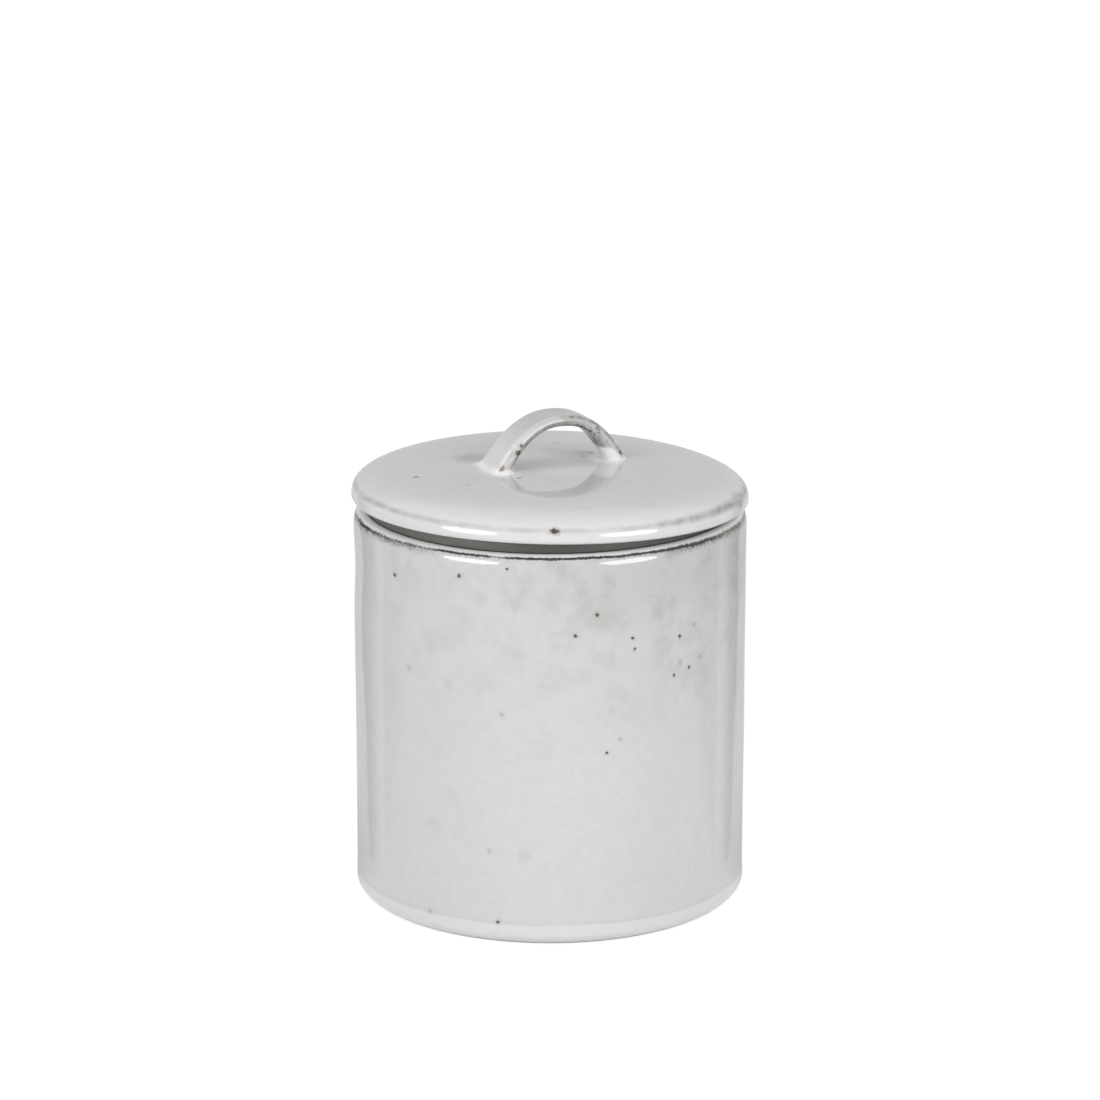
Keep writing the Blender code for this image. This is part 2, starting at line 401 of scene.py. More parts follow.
class SharedEffects:
    """Effects that several finishes use, each one node group built once."""

    def __init__(self) -> None:
        """Build every group."""
        self.clouds = self.build_clouds()
        self.mark = self.build_mark()
        self.scatter = self.build_scatter()
        self.broken_line = self.build_broken_line()
        self.ripple = self.build_ripple()
        self.clay = self.build_clay()

    @staticmethod
    def start(name: str, inputs: Sequence[str], outputs: dict[str, str]) -> tuple[Canvas, dict, dict]:
        """Begin a group.

        Args:
            name: The group's name.
            inputs: Names of its inputs. Place and Centre are vectors, the rest numbers.
            outputs: Its outputs, each name with its socket type.

        Returns:
            The canvas to draw on, the inner sockets of the inputs and those of the outputs.
        """
        tree = bpy.data.node_groups.new(name, "ShaderNodeTree")
        vectors = ("Place", "Centre")
        for label in inputs:
            kind = "NodeSocketVector" if label in vectors else "NodeSocketFloat"
            tree.interface.new_socket(label, in_out="INPUT", socket_type=kind)
        for label, kind in outputs.items():
            tree.interface.new_socket(label, in_out="OUTPUT", socket_type=kind)
        canvas = Canvas(tree)
        entry = canvas.add("NodeGroupInput")
        leave = canvas.add("NodeGroupOutput")
        given = {socket.name: socket for socket in entry.outputs if socket.name}
        out = {socket.name: socket for socket in leave.inputs if socket.name}
        return canvas, given, out

    def build_clouds(self) -> NodeTree:
        """Return uneven glaze: broad tone, fine mottling and smoky clouds."""
        outputs = {"Tone": "NodeSocketFloat", "Mottle": "NodeSocketFloat", "Smoke": "NodeSocketFloat"}
        canvas, given, out = self.start("uneven_glaze", ("Place",), outputs)
        broad = canvas.noise(given["Place"], scale=42.0, detail=2.0)
        fine = canvas.noise(given["Place"], scale=330.0, detail=4.0, roughness=0.65)
        smoke = canvas.noise(given["Place"], scale=95.0, detail=5.0, roughness=0.62)
        canvas.feed(out["Tone"], canvas.ramp(broad, 0.32, 0.68))
        canvas.feed(out["Mottle"], canvas.ramp(fine, 0.35, 0.68))
        canvas.feed(out["Smoke"], canvas.ramp(smoke, 0.44, 0.76))
        return canvas.tree

    def build_mark(self) -> NodeTree:
        """Return one iron mark with an uneven rim and a veil of bled colour round it."""
        outputs = {"Core": "NodeSocketFloat", "Veil": "NodeSocketFloat"}
        canvas, given, out = self.start("iron_mark", ("Place", "Centre", "Size"), outputs)
        away = canvas.vector("DISTANCE", given["Place"], given["Centre"])
        uneven = canvas.ramp(canvas.noise(given["Place"], scale=1100.0, detail=1.0), 0.3, 0.7, 0.78, 1.25)
        share = canvas.math("DIVIDE", canvas.times(away, uneven), given["Size"])
        canvas.feed(out["Core"], canvas.ramp(share, 1.42, 0.82))
        canvas.feed(out["Veil"], canvas.ramp(share, 3.2, 0.9))
        return canvas.tree

    def build_scatter(self) -> NodeTree:
        """Return iron spots at random over a surface, few of them large."""
        outputs = {"Core": "NodeSocketFloat", "Veil": "NodeSocketFloat"}
        canvas, given, out = self.start("iron_scatter", ("Place", "Scale"), outputs)
        inputs = {"Vector": given["Place"], "Scale": given["Scale"], "Randomness": 1.0}
        cells = canvas.add("ShaderNodeTexVoronoi", inputs, feature="F1")
        canvas.feed(out["Core"], canvas.ramp(cells.outputs["Distance"], 0.060, 0.035))
        canvas.feed(out["Veil"], canvas.ramp(cells.outputs["Distance"], 0.150, 0.050))
        return canvas.tree

    def build_broken_line(self) -> NodeTree:
        """Return a narrow line at one height, where glaze broke to the clay, with gaps and thick runs."""
        names = ("Place", "Height", "Level", "Width", "Worn", "Whole")
        outputs = {"Line": "NodeSocketFloat", "Smear": "NodeSocketFloat"}
        canvas, given, out = self.start("broken_line", names, outputs)
        sway = canvas.ramp(canvas.noise(given["Place"], scale=90.0, detail=2.0), 0.25, 0.75, -0.45, 0.45)
        level = canvas.math("ADD", given["Level"], canvas.times(sway, given["Width"]))
        below = canvas.minus(level, given["Height"])
        runs = canvas.ramp(canvas.noise(given["Place"], scale=60.0, detail=2.0), 0.42, 0.66)
        fine = canvas.noise(given["Place"], scale=1100.0, detail=3.0, roughness=0.65)
        grain = canvas.ramp(fine, 0.34, 0.62)
        strong = canvas.math("MAXIMUM", runs, given["Whole"])
        wider = canvas.ramp(given["Worn"], 0.0, 1.0, 1.0, 1.4)
        ragged = canvas.times(canvas.ramp(grain, 0.0, 1.0, 0.65, 1.25), wider)
        spread = canvas.times(canvas.ramp(strong, 0.0, 1.0, 0.45, 1.05), ragged)
        depth = canvas.math("DIVIDE", below, given["Width"])
        share = canvas.math("DIVIDE", canvas.math("ABSOLUTE", depth), spread)
        covered = canvas.ramp(strong, 0.0, 1.0, 0.24, 1.0)
        solid = canvas.math("MAXIMUM", covered, canvas.times(grain, 0.70))
        canvas.feed(out["Line"], canvas.times(canvas.ramp(share, 1.30, 0.55), solid))
        near = canvas.times(canvas.ramp(depth, 9.0, 0.0), canvas.ramp(depth, -3.0, 0.0))
        rarity = canvas.ramp(near, 0.0, 1.0, 0.60, 0.38)
        specks = canvas.ramp(fine, rarity, canvas.math("ADD", rarity, 0.14), 0.30, 1.0)
        worn = canvas.math("MAXIMUM", given["Worn"], canvas.times(runs, 0.25))
        canvas.feed(out["Smear"], canvas.times(canvas.times(near, specks), worn))
        return canvas.tree

    def build_ripple(self) -> NodeTree:
        """Return the height of a fired glaze: slow waves and a faint orange peel."""
        canvas, given, out = self.start("glaze_ripple", ("Place",), {"Height": "NodeSocketFloat"})
        waves = canvas.noise(given["Place"], scale=55.0, detail=1.0, roughness=0.35)
        peel = canvas.times(canvas.noise(given["Place"], scale=420.0, detail=1.0), 0.05)
        canvas.feed(out["Height"], canvas.math("ADD", waves, peel))
        return canvas.tree

    def build_clay(self) -> NodeTree:
        """Return bare fired clay: a sandy brown with dark grog."""
        canvas, given, out = self.start("bare_clay", ("Place",), {"Colour": "NodeSocketColor"})
        sand = canvas.noise(given["Place"], scale=900.0, detail=4.0, roughness=0.7)
        grog = canvas.ramp(canvas.noise(given["Place"], scale=1800.0, detail=1.0), 0.62, 0.72)
        tone = canvas.mix(canvas.ramp(sand, 0.3, 0.7), CLAY_BROWN, CLAY_SAND)
        canvas.feed(out["Colour"], canvas.mix(grog, tone, CLAY_GROG))
        return canvas.tree


EFFECTS = SharedEffects()


@dataclass(frozen=True)
class GlazeFinish:
    """Pale grey-white stoneware glaze over an iron-bearing clay."""

    pale: Colour = (0.645, 0.648, 0.642)
    # Thinly spread glaze, and also the painted shadow line above the base's pool.
    thin_glaze_and_shade: Colour = (0.545, 0.545, 0.538)
    cool: Colour = (0.618, 0.625, 0.630)
    # Glaze gathered white, and also painted light on the strap's left leg and on part of the lid's edge.
    pooled_and_lit: Colour = (0.765, 0.767, 0.760)
    # White glaze, and also painted light: the lip's crest, the strap's upper edge and the lid under the arch.
    slip: Colour = (0.880, 0.880, 0.870)
    dab: Colour = (0.400, 0.398, 0.385)
    grime: Colour = (0.150, 0.138, 0.124)
    iron: Colour = (0.055, 0.036, 0.024)
    veil: Colour = (0.370, 0.335, 0.290)
    broken: Colour = (0.018, 0.014, 0.012)
    clay: Colour = (0.260, 0.150, 0.110)
    roughness: float = 0.035
    dry_roughness: float = 0.75
    refraction: float = 1.56
    rough_spread: float = 1.6
    ripple_depth: float = 0.00006
    cool_share: float = 0.30
    thin_share: float = 0.26
    scatter_veil: float = 0.30
    scatter_core: float = 0.85


MARK_WEIGHTS: dict[MarkKind, Point] = {
    MarkKind.SPOT: (0.92, 0.42),
    MarkKind.VEILED: (0.20, 0.16),
    MarkKind.DAB: (0.00, 0.26),
    MarkKind.BARE: (0.75, 0.30),
}


class GlazeCoat:
    """One glazed material, built up in layers over the pale base."""

    def __init__(self, name: str, finish: GlazeFinish) -> None:
        """Start the material with its uneven base.

        Args:
            name: The material's name.
            finish: Colours and gloss of the glaze.
        """
        self.finish = finish
        self.material = bpy.data.materials.new(name)
        self.material.use_nodes = True
        self.canvas = Canvas(self.material.node_tree)
        self.shader = self.material.node_tree.nodes["Principled BSDF"]
        self.shader.inputs["IOR"].default_value = finish.refraction
        self.place = self.canvas.add("ShaderNodeTexCoord").outputs["Object"]
        self.clouds = self.canvas.group(EFFECTS.clouds, Place=self.place)
        canvas = self.canvas
        tone = canvas.times(self.clouds.outputs["Tone"], finish.cool_share)
        self.colour = canvas.mix(tone, finish.pale, finish.cool)
        mottle = self.clouds.outputs["Mottle"]
        self.colour = canvas.mix(canvas.times(mottle, finish.thin_share), self.colour, finish.thin_glaze_and_shade)
        duller = finish.roughness * finish.rough_spread
        self.roughness: Socket = canvas.ramp(mottle, 0.0, 1.0, finish.roughness, duller)

    def layer(self, mask: Feed, colour: Feed, strength: float = 1.0) -> None:
        """Lay a colour over what is there.

        Args:
            mask: Where it lies.
            colour: The colour.
            strength: How much of it shows at most.
        """
        share = self.canvas.times(mask, strength)
        self.colour = self.canvas.mix(share, self.colour, colour)

    def marks(self, marks: Iterable[tuple[Mark, Vector]]) -> None:
        """Lay iron marks, and the patches of painted shade among them, at their places.

        Args:
            marks: Each mark with its centre on the surface.
        """
        cored = []
        for mark, centre in marks:
            size = mark.size / 2 if mark.kind is MarkKind.DAB else mark.size
            node = self.canvas.group(EFFECTS.mark, Place=self.place, Centre=centre, Size=size)
            core, veil = MARK_WEIGHTS[mark.kind]
            colour = self.finish.dab if mark.kind is MarkKind.DAB else self.finish.veil
            self.layer(node.outputs["Veil"], colour, veil * mark.strength)
            if core > 0:
                colour = self.finish.clay if mark.kind is MarkKind.BARE else self.finish.iron
                cored.append((node.outputs["Core"], colour, core * mark.strength))
        for core in cored:
            self.layer(*core)

    def scatter(self, mask: Feed, scale: float) -> None:
        """Lay random iron spots where no photographed ones are known.

        Args:
            mask: Where they may lie.
            scale: Cells per metre.
        """
        node = self.canvas.group(EFFECTS.scatter, Place=self.place, Scale=scale)
        finish = self.finish
        self.layer(self.canvas.times(node.outputs["Veil"], mask), finish.veil, finish.scatter_veil)
        self.layer(self.canvas.times(node.outputs["Core"], mask), finish.iron, finish.scatter_core)

    def leave_bare(self, mask: Socket) -> None:
        """Leave a part unglazed.

        Args:
            mask: Where the clay shows.
        """
        clay = self.canvas.group(EFFECTS.clay, Place=self.place)
        self.colour = self.canvas.mix(mask, self.colour, clay.outputs["Colour"])
        self.roughness = self.canvas.ramp(mask, 0.0, 1.0, self.roughness, self.finish.dry_roughness)

    def close(self) -> Material:
        """Link the layers to the shader and return the material."""
        canvas = self.canvas
        ripple = canvas.group(EFFECTS.ripple, Place=self.place)
        inputs = {"Strength": 1.0, "Distance": self.finish.ripple_depth, "Height": ripple.outputs["Height"]}
        bump = canvas.add("ShaderNodeBump", inputs)
        canvas.feed(self.shader.inputs["Base Color"], self.colour)
        canvas.feed(self.shader.inputs["Roughness"], self.roughness)
        canvas.feed(self.shader.inputs["Normal"], bump.outputs["Normal"])
        return self.material


@dataclass(frozen=True)
class SiliconeFinish:
    """Matte grey silicone with a dusty bloom."""

    deep: Colour = (0.086, 0.088, 0.079)
    bloom: Colour = (0.110, 0.112, 0.103)
    shade: Colour = (0.062, 0.064, 0.057)
    shade_span: Point = (-0.042, 0.004)
    shade_share: float = 0.85
    dust_scale: float = 160.0
    grain_scale: float = 2600.0
    grain_depth: float = 0.00002
    grain_strength: float = 0.6
    roughness: float = 0.52
    dusty_roughness: float = 0.66

    def material(self) -> Material:
        """Return the material."""
        made = bpy.data.materials.new("grey_silicone")
        made.use_nodes = True
        canvas = Canvas(made.node_tree)
        shader = made.node_tree.nodes["Principled BSDF"]
        place = canvas.add("ShaderNodeTexCoord").outputs["Object"]
        dust = canvas.ramp(canvas.noise(place, scale=self.dust_scale, detail=3.0, roughness=0.6), 0.35, 0.70)
        grain = canvas.noise(place, scale=self.grain_scale, detail=2.0)
        relief = {"Strength": self.grain_strength, "Distance": self.grain_depth, "Height": grain}
        bump = canvas.add("ShaderNodeBump", relief)
        across = canvas.along(place, CAMERA.right)
        shaded = canvas.ramp(across, *self.shade_span, 0.0, self.shade_share)
        colour = canvas.mix(shaded, canvas.mix(dust, self.deep, self.bloom), self.shade)
        roughness = canvas.ramp(dust, 0.0, 1.0, self.roughness, self.dusty_roughness)
        canvas.feed(shader.inputs["Base Color"], colour)
        canvas.feed(shader.inputs["Roughness"], roughness)
        canvas.feed(shader.inputs["Normal"], bump.outputs["Normal"])
        return made


def smooth_step(value: float, low: float, high: float) -> float:
    """Return a smooth step of a value from 0 at low to 1 at high."""
    share = min(1.0, max(0.0, (value - low) / (high - low)))
    return share * share * (3 - 2 * share)


def bell(value: float, middle: float, width: float) -> float:
    """Return 1 in the middle, falling smoothly to 0 beyond the width."""
    return math.exp(-((value - middle) / width) ** 2)


def arc(centre: Point, radius: float, start: float, end: float) -> list[Point]:
    """Return points on an arc whose chords stay close to it.

    Args:
        centre: The arc's centre.
        radius: Its radius.
        start: Angle of its first point.
        end: Angle of its last point.

    Returns:
        The points, both ends included.
    """
    longest_step = 2 * math.acos(max(0.0, 1 - ROUND_TOLERANCE / radius))
    steps = max(2, math.ceil(abs(end - start) / longest_step))
    turns = [start + (end - start) * i / steps for i in range(steps + 1)]
    return [(centre[0] + radius * math.cos(t), centre[1] + radius * math.sin(t)) for t in turns]


def fillet(before: Point, corner: Point, after: Point, radius: float) -> list[Point]:
    """Return the points that round one corner of an outline.

    Args:
        before: A point on the line that comes in.
        corner: The corner.
        after: A point on the line that leaves.
        radius: The rounding.

    Returns:
        Points along the tangent arc.
    """
    to_before = math.atan2(before[1] - corner[1], before[0] - corner[0])
    to_after = math.atan2(after[1] - corner[1], after[0] - corner[0])
    opening = (to_after - to_before + math.pi) % (2 * math.pi) - math.pi
    middle = to_before + opening / 2
    reach = radius / math.sin(abs(opening) / 2)
    centre = (corner[0] + reach * math.cos(middle), corner[1] + reach * math.sin(middle))
    sweep = (math.pi - abs(opening)) * math.copysign(1.0, opening)
    start = middle + math.pi + sweep / 2
    return arc(centre, radius, start, start - sweep)


def full_turn(turn: float, fullness: float) -> Point:
    """Return how far out and up a full, squarish quarter turn is.

    Args:
        turn: Angle from level to upright.
        fullness: 2 for a true round, more for a squarer one.

    Returns:
        The two shares, from 0 to 1.
    """
    return math.cos(turn) ** (2 / fullness), math.sin(turn) ** (2 / fullness)


def outline(corners: Sequence[tuple[float, float, float]], closed: bool) -> list[Point]:
    """Turn corners into outline points.

    Args:
        corners: Radius, height and rounding of each corner.
        closed: Whether the outline goes round a ring's section.

    Returns:
        The points, with no two in one place.
    """
    points: list[Point] = []
    for i, (r, z, rounding) in enumerate(corners):
        inner = closed or 0 < i < len(corners) - 1
        if rounding > 0 and inner:
            before, after = corners[i - 1], corners[(i + 1) % len(corners)]
            points += fillet(before[:2], (r, z), after[:2], rounding)
        else:
            points.append((r, z))
    return points


def split_long(points: Sequence[Point], longest: float) -> list[Point]:
    """Return an outline whose long runs are cut into short ones.

    Args:
        points: The outline.
        longest: The longest run that stays whole.

    Returns:
        The outline with more points.
    """
    cut = [points[0]]
    for point in points[1:]:
        gap = math.dist(cut[-1], point)
        if gap < SAME_PLACE:
            continue
        start, steps = cut[-1], math.ceil(gap / longest)
        for i in range(1, steps + 1):
            share = i / steps
            cut.append((start[0] + (point[0] - start[0]) * share, start[1] + (point[1] - start[1]) * share))
    return cut


def turned_mesh(
    name: str, points: Sequence[Point], closed: bool, shape: Callable[[Vector], Vector]
) -> Mesh:
    """Spin an outline about the axis and bend the result.

    Args:
        name: The mesh's name.
        points: The outline as radius and height, on the axis at both ends unless it is closed.
        closed: Whether the outline goes round a ring's section.
        shape: Where each point of the true round ends up.

    Returns:
        The mesh.
    """
    vertices: list[Vector] = []
    rings: list[list[int]] = []
    for r, z in points:
        first = len(vertices)
        count = 1 if r < SAME_PLACE else TURN_STEPS
        for i in range(count):
            turn = 2 * math.pi * i / TURN_STEPS
            vertices.append(shape(Vector((r * math.cos(turn), r * math.sin(turn), z))))
        rings.append([first + i % count for i in range(TURN_STEPS)])
    if closed:
        rings.append(rings[0])
    faces = []
    for low, high in zip(rings, rings[1:]):
        for i in range(TURN_STEPS):
            k = (i + 1) % TURN_STEPS
            corners = (low[i], low[k], high[k], high[i])
            faces.append(tuple(dict.fromkeys(corners)))
    mesh = bpy.data.meshes.new(name)
    mesh.from_pydata(vertices, [], faces)
    return mesh


def link_object(name: str, data: bpy.types.ID) -> bpy.types.Object:
    """Return a new object with its data, linked to the scene."""
    made = bpy.data.objects.new(name, data)
    bpy.context.collection.objects.link(made)
    return made


def finish_piece(mesh: Mesh, material: Material, body: Body, slot: Slot) -> bpy.types.Object:
    """Make a mesh a piece of the part.

    Args:
        mesh: The mesh, in the row frame.
        material: Its finish.
        body: The body that it rides on.
        slot: The record's slot for its finish; not used.

    Returns:
        The piece.
    """
    mesh.validate()
    mesh.shade_smooth()
    mesh.set_sharp_from_angle(angle=SHARP_ANGLE)
    mesh.materials.append(material)
    piece = link_object(mesh.name, mesh)
    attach(piece, body.value)
    log.info("%s: %d faces on body %s", piece.name, len(mesh.polygons), body.value)
    return piece


@dataclass
class JarBody:
    """The thrown body: foot ring, straight wall, rolled lip and rounded floor."""

    radius: float = field(default_factory=lambda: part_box("jar")[1][0])
    height: float = field(default_factory=lambda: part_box("jar")[1][2])
    wall: float = 0.0045
    floor: float = 0.0060
    foot_recess: float = 0.0015
    foot_width: float = 0.0070
    base_round: float = 0.0035
    floor_round: float = 0.0060
    lip_outer_drop: float = 0.0055
    lip_fullness: float = 3.0
    lip_inner_round: float = 0.0008
    lip_steps: int = 24
    waist_height: float = 0.1027
    waist_reach: float = 0.0085
    waist_depth: float = 0.00045
    waist_shares: Point = (0.55, 0.45)
    swell: float = 0.00014
    swell_turns: float = 1.3
    swell_waves: float = 28.0
    pooled_height: float = 0.0062
    pooled_edge: float = 0.0004
    shadow_line_above_pool: Point = (0.0007, 0.0001)
    pooled_wander: float = 0.0003
    bare_heights: Point = (0.0011, 0.00066)
    line_drop: float = 0.0008
    lip_warp: float = 0.0005
    bead: float = 0.00012
    lit_crest_span: Point = (0.0001, 0.0005)
    line_width: float = 0.00033
    line_whole: Point = (-0.021, -0.008)
    line_fade: Point = (0.047, 0.054)
    worn_span: Point = (0.030, 0.042)
    darker_start: float = 0.040
    darker_drop: float = 0.012
    darker_across: Point = (-0.045, 0.050)
    shoulder_drops: Point = (0.026, 0.008)
    shoulder_across: Point = (-0.022, 0.030)
    back_span: Point = (0.006, -0.006)
    back_cells: float = 46.0

    @property
    def pooled_edges(self) -> Point:
        """Heights between which the pool of glaze round the base sets in, from above."""
        return self.pooled_height + self.pooled_edge, self.pooled_height - self.pooled_edge

    def outline(self) -> list[Point]:
        """Return the section from the foot's middle round the lip to the floor's middle."""
        foot_inner = self.radius - self.base_round - self.foot_width
        foot_round = self.foot_recess / 2
        mouth = self.radius - self.wall
        floor_top = self.foot_recess + self.floor
        outside = [
            (0.0, self.foot_recess, 0.0),
            (foot_inner, self.foot_recess, foot_round),
            (foot_inner, 0.0, foot_round),
            (self.radius, 0.0, self.base_round),
            (self.radius, self.height - self.lip_outer_drop, 0.0),
        ]
        inside = [
            (mouth, self.height - self.lip_inner_round, 0.0),
            (mouth, floor_top, self.floor_round),
            (0.0, floor_top, 0.0),
        ]
        crest = mouth + self.lip_inner_round
        lip = []
        for i in range(1, self.lip_steps):
            out, up = full_turn(math.pi / 2 * (i / self.lip_steps) ** CROWDING, self.lip_fullness)
            lip.append((crest + (self.radius - crest) * out, self.height - self.lip_outer_drop * (1 - up)))
        lip += arc((crest, self.height - self.lip_inner_round), self.lip_inner_round, math.pi / 2, math.pi)
        return split_long(outline(outside, False) + lip + outline(inside, False), WALL_STEP)

    def thrown(self, point: Vector) -> Vector:
        """Return a point of the true round as the hand left it: waist, slow swells, bead and uneven lip.

        Args:
            point: The point on the true round.

        Returns:
            The point on the thrown wall.
        """
        r = math.hypot(point.x, point.y)
        outer = smooth_step(r, self.radius - self.wall / 2, self.radius - self.wall / 8)
        foot = outer * smooth_step(point.z, 0.0, self.base_round)
        wall = foot * (1 - smooth_step(point.z, self.height - self.lip_outer_drop, self.height))
        lip = smooth_step(point.z, self.height - self.lip_outer_drop, self.height)
        lift = UP * (lip * self.lip_lift(point))
        if outer == 0.0:
            return point + lift
        way = Vector((point.x, point.y, 0.0)) / r
        left = self.waist_shares[0] - self.waist_shares[1] * way.dot(CAMERA.right)
        waist = bell(point.z, self.waist_height, self.waist_reach)
        swell = noise.noise(way * self.swell_turns + UP * (point.z * self.swell_waves))
        shift = wall * (swell * self.swell - waist * left * self.waist_depth)
        shift += foot * self.bead * smooth_step(point.z, *self.pooled_edges)
        return point + lift + way * shift

    def lip_lift(self, point: Vector) -> float:
        """Return how much higher the lip is at a place than in front, where it dips a little."""
        return self.lip_warp * (point.dot(CAMERA.right) / self.radius) ** 2

    def material(self, finish: GlazeFinish, mesh: Mesh) -> Material:
        """Return the body's glaze with its marks, dark lip line, painted light on the crest, whiter base
        under a painted shadow line, and bare foot.

        Args:
            finish: The glaze.
            mesh: The mesh that the marks lie on.

        Returns:
            The material.
        """
        coat = GlazeCoat("jar_glaze", finish)
        canvas = coat.canvas
        height = canvas.part(coat.place, "Z")
        across = canvas.along(coat.place, CAMERA.right)
        smoke = coat.clouds.outputs["Smoke"]
        # Darker and smokier towards the top and towards the right of the wall.
        upper = canvas.ramp(height, self.darker_start, self.height - self.darker_drop)
        darker_up_right = canvas.times(upper, canvas.ramp(across, *self.darker_across, 0.40, 1.0))
        coat.layer(darker_up_right, finish.thin_glaze_and_shade, strength=0.55)
        coat.layer(canvas.times(smoke, darker_up_right), finish.dab, strength=0.62)
        shoulder = canvas.ramp(height, *(self.height - drop for drop in self.shoulder_drops))
        greyer = canvas.times(shoulder, canvas.ramp(across, *self.shoulder_across, 0.10, 1.0))
        patches = canvas.ramp(smoke, 0.0, 1.0, 0.45, 1.0)
        coat.layer(canvas.times(greyer, patches), finish.dab, strength=0.66)
        self.pool_base(coat, height)
        back = canvas.ramp(canvas.along(coat.place, CAMERA.toward), *self.back_span)
        coat.scatter(back, self.back_cells)
        coat.marks(CAMERA.find(mesh, WALL_MARKS))
        self.draw_line(coat, height, across)
        coat.leave_bare(canvas.ramp(height, *self.bare_heights))
        return coat.close()

    def pool_base(self, coat: GlazeCoat, height: Socket) -> None:
        """Lay the whiter pool of glaze round the base, with a painted shadow line above it.

        Args:
            coat: The body's glaze.
            height: The height of each place.
        """
        canvas, finish = coat.canvas, coat.finish
        wander = canvas.ramp(coat.clouds.outputs["Tone"], 0.0, 1.0, -self.pooled_wander, self.pooled_wander)
        low = canvas.math("ADD", height, wander)
        # Painted shadow: a narrow darker line just above the base's pool.
        beside = canvas.math("ABSOLUTE", canvas.minus(low, self.pooled_height + self.shadow_line_above_pool[0]))
        coat.layer(canvas.ramp(beside, *self.shadow_line_above_pool), finish.thin_glaze_and_shade, strength=0.30)
        coat.layer(canvas.ramp(low, *self.pooled_edges), finish.pooled_and_lit, strength=0.50)

    def draw_line(self, coat: GlazeCoat, height: Socket, across: Socket) -> None:
        """Lay painted light on the lip's crest and the broken dark line under it.

        Args:
            coat: The body's glaze.
            height: The height of each place.
            across: How far right of the axis each place is.
        """
        canvas, finish = coat.canvas, coat.finish
        worn = canvas.ramp(canvas.math("ABSOLUTE", across), *self.worn_span)
        level = self.height - self.line_drop
        # Painted light: the lip's crest is whitened against the shade that the lid casts on it.
        crest = canvas.ramp(height, *(level + rise for rise in self.lit_crest_span))
        coat.layer(crest, finish.slip, strength=0.85)
        line = canvas.group(
            EFFECTS.broken_line, Place=coat.place, Height=height, Level=level, Width=self.line_width,
            Worn=worn, Whole=canvas.ramp(across, *self.line_whole),
        )
        coat.layer(line.outputs["Smear"], finish.grime, strength=0.85)
        fading = canvas.ramp(across, *self.line_fade, 1.0, 0.05)
        coat.layer(canvas.times(line.outputs["Line"], fading), finish.broken, strength=0.97)

    def build(self, finish: GlazeFinish) -> None:
        """Make the body and put it in the place of its solid."""
        mesh = turned_mesh("jar_body", self.outline(), False, self.thrown)
        piece = finish_piece(mesh, self.material(finish, mesh), Body.JAR, Slot.JAR)
        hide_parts("jar")


@dataclass
class SealRing:
    """The soft ring: a collar on the inside of the lip and a finned sleeve in the mouth."""

    jar: JarBody
    base: float = field(default_factory=lambda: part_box("seal_ring")[0][2])
    top: float = field(default_factory=lambda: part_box("seal_ring")[1][2])
    collar_radius: float = field(default_factory=lambda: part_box("seal_ring")[1][0])
    collar_thickness: float = 0.00285
    sleeve_radius: float = 0.0536
    sleeve_wall: float = 0.0018
    lip_depth: float = 0.00225
    fin_count: int = 2
    fin_reach: float = 0.0016
    fin_root: float = 0.0012
    fin_tip: float = 0.0007
    rounding: float = 0.0004
    settle: float = 0.00025

    def settled(self, point: Vector) -> Vector:
        """Return a point of the true ring, its collar's base sunk on the uneven lip.

        Args:
            point: The point on the true round.

        Returns:
            The point on the seated ring.
        """
        collar_base = self.top - self.collar_thickness
        on_lip = math.hypot(point.x, point.y) > self.sleeve_radius + self.fin_reach
        at_base = collar_base - self.rounding <= point.z <= self.top - self.collar_thickness / 2
        if not (on_lip and at_base):
            return point
        return point + UP * (self.jar.lip_lift(point) - self.settle)

    def outline(self) -> list[Point]:
        """Return the ring's closed section."""
        inner = self.sleeve_radius - self.sleeve_wall
        collar_base = self.top - self.collar_thickness
        corners = [
            (inner, self.top, self.rounding),
            (self.collar_radius, self.top, self.rounding),
            (self.collar_radius, collar_base, self.rounding),
            (self.sleeve_radius, collar_base, 0.0),
        ]
        pitch = (collar_base - self.base - self.lip_depth) / self.fin_count
        for i in range(self.fin_count):
            z = collar_base - self.lip_depth - pitch * (i + 0.5)
            fin = self.sleeve_radius + self.fin_reach
            corners += [
                (self.sleeve_radius, z + self.fin_root / 2, 0.0),
                (fin, z + self.fin_tip / 2, 0.0),
                (fin, z - self.fin_tip / 2, 0.0),
                (self.sleeve_radius, z - self.fin_root / 2, 0.0),
            ]
        corners += [
            (self.sleeve_radius, self.base, self.rounding),
            (inner, self.base, self.rounding),
        ]
        return outline(corners, True)

    def build(self, finish: SiliconeFinish) -> None:
        """Make the ring and put it in the place of its solid."""
        mesh = turned_mesh("lid_seal", self.outline(), True, self.settled)
        piece = finish_piece(mesh, finish.material(), Body.SEAL, Slot.SEAL)
        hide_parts("seal_ring")


